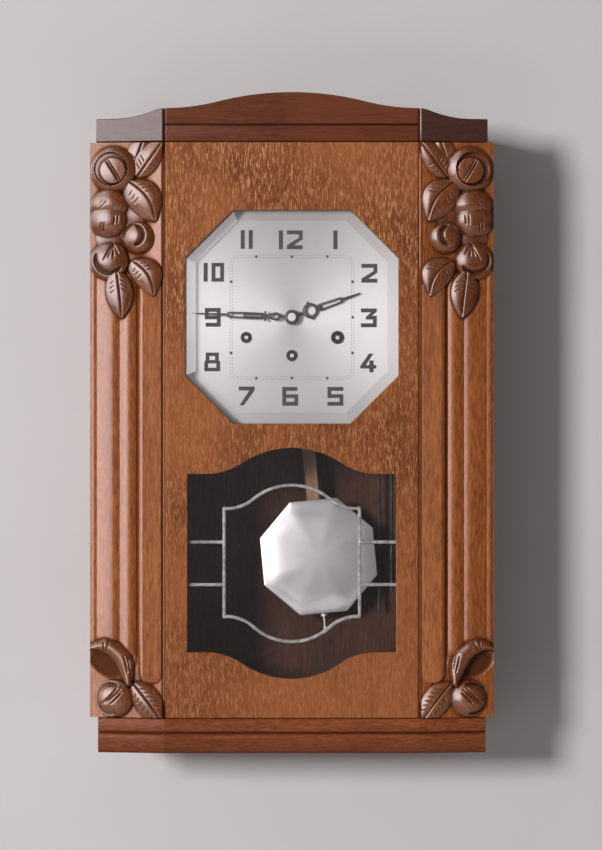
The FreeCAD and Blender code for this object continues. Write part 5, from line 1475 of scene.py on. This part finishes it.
track_tree = dotted_square_tree("minute_track", track_ink)
for number, (side, corner) in enumerate(TRACK_LINES, 1):
    values = {
        "Side": side * MM, "Corner": corner * MM, "Count": DASHES, "Length": DASH_LENGTH * MM,
        "Width": DASH_WIDTH * MM, "Thickness": DASH_THICKNESS * MM,
        "Depth": (DIAL_FRONT - DASH_THICKNESS / 2) * MM, "Middle": CENTRE_Z * MM,
    }
    name = f"minute_line_{number}"
    piece(name, grown(name, track_tree, values), "case", track_ink, "dial_ink")
dots = []
for spot in DOT_PLACES:
    for x, z in ((spot, TRACK_HALF), (spot, -TRACK_HALF), (TRACK_HALF, spot), (-TRACK_HALF, spot)):
        dots.append(round_loop(x, CENTRE_Z + z, DOT_RADIUS))
piece("five_minute_dots", filled(dots, INK_DEPTH), "case", dial_ink, "dial_ink")

# %% [markdown]
# ## Hands
# The hands are pierced from thin steel and blued. Each is drawn pointing at twelve as a half outline of
# distances along the hand and half-widths, mirrored, filled with its openings, given slightly rounded edges
# and turned to the time.

# %% Hands
MINUTE_DEPTH = (-131.8, -130.6)
HOUR_DEPTH = (-127.8, -126.6)
MINUTE_ANGLE = 272.3
HOUR_ANGLE = 70.7
HAND_ROUNDING = 0.15
HUB = (6.9, 0.97)
HUB_STEPS = 18
RING = (18.4, 7.2)


def both_sides(half):
    """A closed outline from (along, half-width) points on one side of a hand."""
    return [(w, CENTRE_Z + u) for u, w in half] + [(-w, CENTRE_Z + u) for u, w in reversed(half) if w > 0.0]


def hub_points(radius, leave):
    """Points round the hub, from its lowest point to where the hand leaves it."""
    start, end = -math.pi / 2, math.asin(leave)
    angles = [start + (end - start) * i / HUB_STEPS for i in range(HUB_STEPS + 1)]
    return [(radius * math.sin(a), radius * math.cos(a)) for a in angles]


def ring_points(centre, radius, start, end, steps=14):
    """Points along a round swelling of a hand, from one angle to another."""
    angles = [math.radians(start + (end - start) * i / steps) for i in range(steps + 1)]
    return [(centre - radius * math.cos(a), radius * math.sin(a)) for a in angles]


def turned_about(mesh, height, angle):
    """A mesh turned about a level axis from front to back, at one height on the middle line."""
    middle = Matrix.Translation((0.0, 0.0, height * MM))
    mesh.transform(middle @ Matrix.Rotation(math.radians(angle), 4, "Y") @ middle.inverted())
    return mesh


minute_half = hub_points(*HUB) + [
    (9.0, 1.1), (10.2, 1.5), (12.0, 3.1), (14.6, 4.0), (17.5, 3.4), (20.5, 2.2), (23.0, 1.5), (24.1, 1.5),
    (24.3, 4.6), (25.7, 4.6), (25.9, 2.0), (27.0, 2.9), (44.0, 3.0), (60.2, 2.7), (61.0, 1.0), (76.0, 0.75),
    (93.4, 0.3),
]
minute_loops = [
    both_sides(minute_half),
    both_sides([(12.6, 0.35), (14.6, 1.9), (17.2, 1.6), (20.4, 0.35)]),
    both_sides([(28.4, 0.55), (43.2, 0.6)]),
    both_sides([(45.4, 1.45), (59.0, 1.25)]),
    round_loop(0.0, CENTRE_Z, 2.0),
]
hour_half = hub_points(*HUB) + [(9.5, 1.6), (11.2, 1.7)]
hour_half += ring_points(*RING, 16.0, 72.0) + [(18.4, 9.0)] + ring_points(*RING, 108.0, 158.0)
hour_half += [(26.2, 2.4), (28.0, 3.3), (50.0, 2.6), (50.6, 1.25), (68.0, 0.6)]
hour_loops = [
    both_sides(hour_half),
    round_loop(0.0, CENTRE_Z + 19.0, 4.5),
    both_sides([(29.6, 1.75), (48.4, 1.2)]),
    round_loop(0.0, CENTRE_Z, 3.2),
]
minute = turned_about(filled(minute_loops, MINUTE_DEPTH, HAND_ROUNDING), CENTRE_Z, MINUTE_ANGLE)
hour = turned_about(filled(hour_loops, HOUR_DEPTH, HAND_ROUNDING), CENTRE_Z, HOUR_ANGLE)
piece("pierced_minute_hand", minute, "minute", blued_steel, "blued_steel", "minute_hand")
piece("pierced_hour_hand", hour, "hour", blued_steel, "blued_steel", "hour_hand")

# %% [markdown]
# ## Pendulum bob
# The bob is an eight-sided disc of polished metal with a thin rim, a narrow bevelled border and a slightly
# domed face, so that its left half mirrors the bright side of the room and its right half the dim one. It
# is drawn as rings of eight corners and turned with the swing it hangs at.

# %% Bob
PIVOT_Z = -80.7
PENDULUM = 272.0
SWING = 5.36
BOB_RINGS = (
    (54.0, -40.1), (54.6, -40.7), (54.6, -43.4), (54.2, -43.8), (50.8, -44.7), (37.0, -46.7), (19.0, -48.4),
)
BOB_PEAK = -49.1
SIDES, SUBDIVIDE = 8, 6
corner_angles = [math.pi / SIDES + i * 2 * math.pi / SIDES for i in range(SIDES)]
points = []
for apothem, y in BOB_RINGS:
    corner = apothem / math.cos(math.pi / SIDES)
    ring = [(corner * math.cos(a), corner * math.sin(a)) for a in corner_angles]
    for a, b in zip(ring, ring[1:] + ring[:1]):
        for share in (k / SUBDIVIDE for k in range(SUBDIVIDE)):
            x, z = (p + share * (q - p) for p, q in zip(a, b))
            points.append((x, y, PIVOT_Z - PENDULUM + z))
around = SIDES * SUBDIVIDE
last = len(points) - around
faces = ring_faces(len(BOB_RINGS), around)
faces += [(last + k, last + (k + 1) % around, len(points)) for k in range(around)]
faces.append(tuple(range(around)))
points.append((0.0, BOB_PEAK, PIVOT_Z - PENDULUM))
bob = turned_about(outward(mesh_from("mirror_bob", points, faces)), PIVOT_Z, -SWING)
piece("mirror_bob", bob, "pendulum", polished_bob, "polished_bob", "pendulum_bob", crisp=8.0)

# %% [markdown]
# ## Finishes on the carried-over pieces
# The glass, the movement, the hinges and the inner parts keep their CAD shape and only need their finish.
# What the table doesn't name is brass.

# %% Finishes
FINISHES = {
    bevelled_glass: ("dial_glass",),
    window_glass: ("window_panes",),
    inner_wood: ("back_board", "movement_rails"),
    case_wood: ("glass_beads",),
    pale_wood: ("pendulum_rod",),
    silvered_brass: ("dial_plate",),
    black_steel: ("winding_grommets",),
    cast_block: ("gong_block",),
    gong_steel: ("gong_rods",),
    satin_steel: (
        "hand_nut", "rating_nut", "time_winding_arbor", "strike_winding_arbor", "chime_winding_arbor",
    ),
    steel: (
        "case_screws", "suspension_spring", "hook_keeper", "hanger_plate", "hinge_pins", "anchor",
        "hammer_frame",
    ),
}
named = {node for nodes in FINISHES.values() for node in nodes}
carried = [thing["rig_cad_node"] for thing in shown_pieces() if "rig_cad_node" in thing]
FINISHES[brass] = [node for node in carried if node not in named]
for material, nodes in FINISHES.items():
    for node in nodes:
        mesh = frame["nodes"][node].data
        mesh.materials.clear()
        mesh.materials.append(material)
print("brass on", FINISHES[brass])
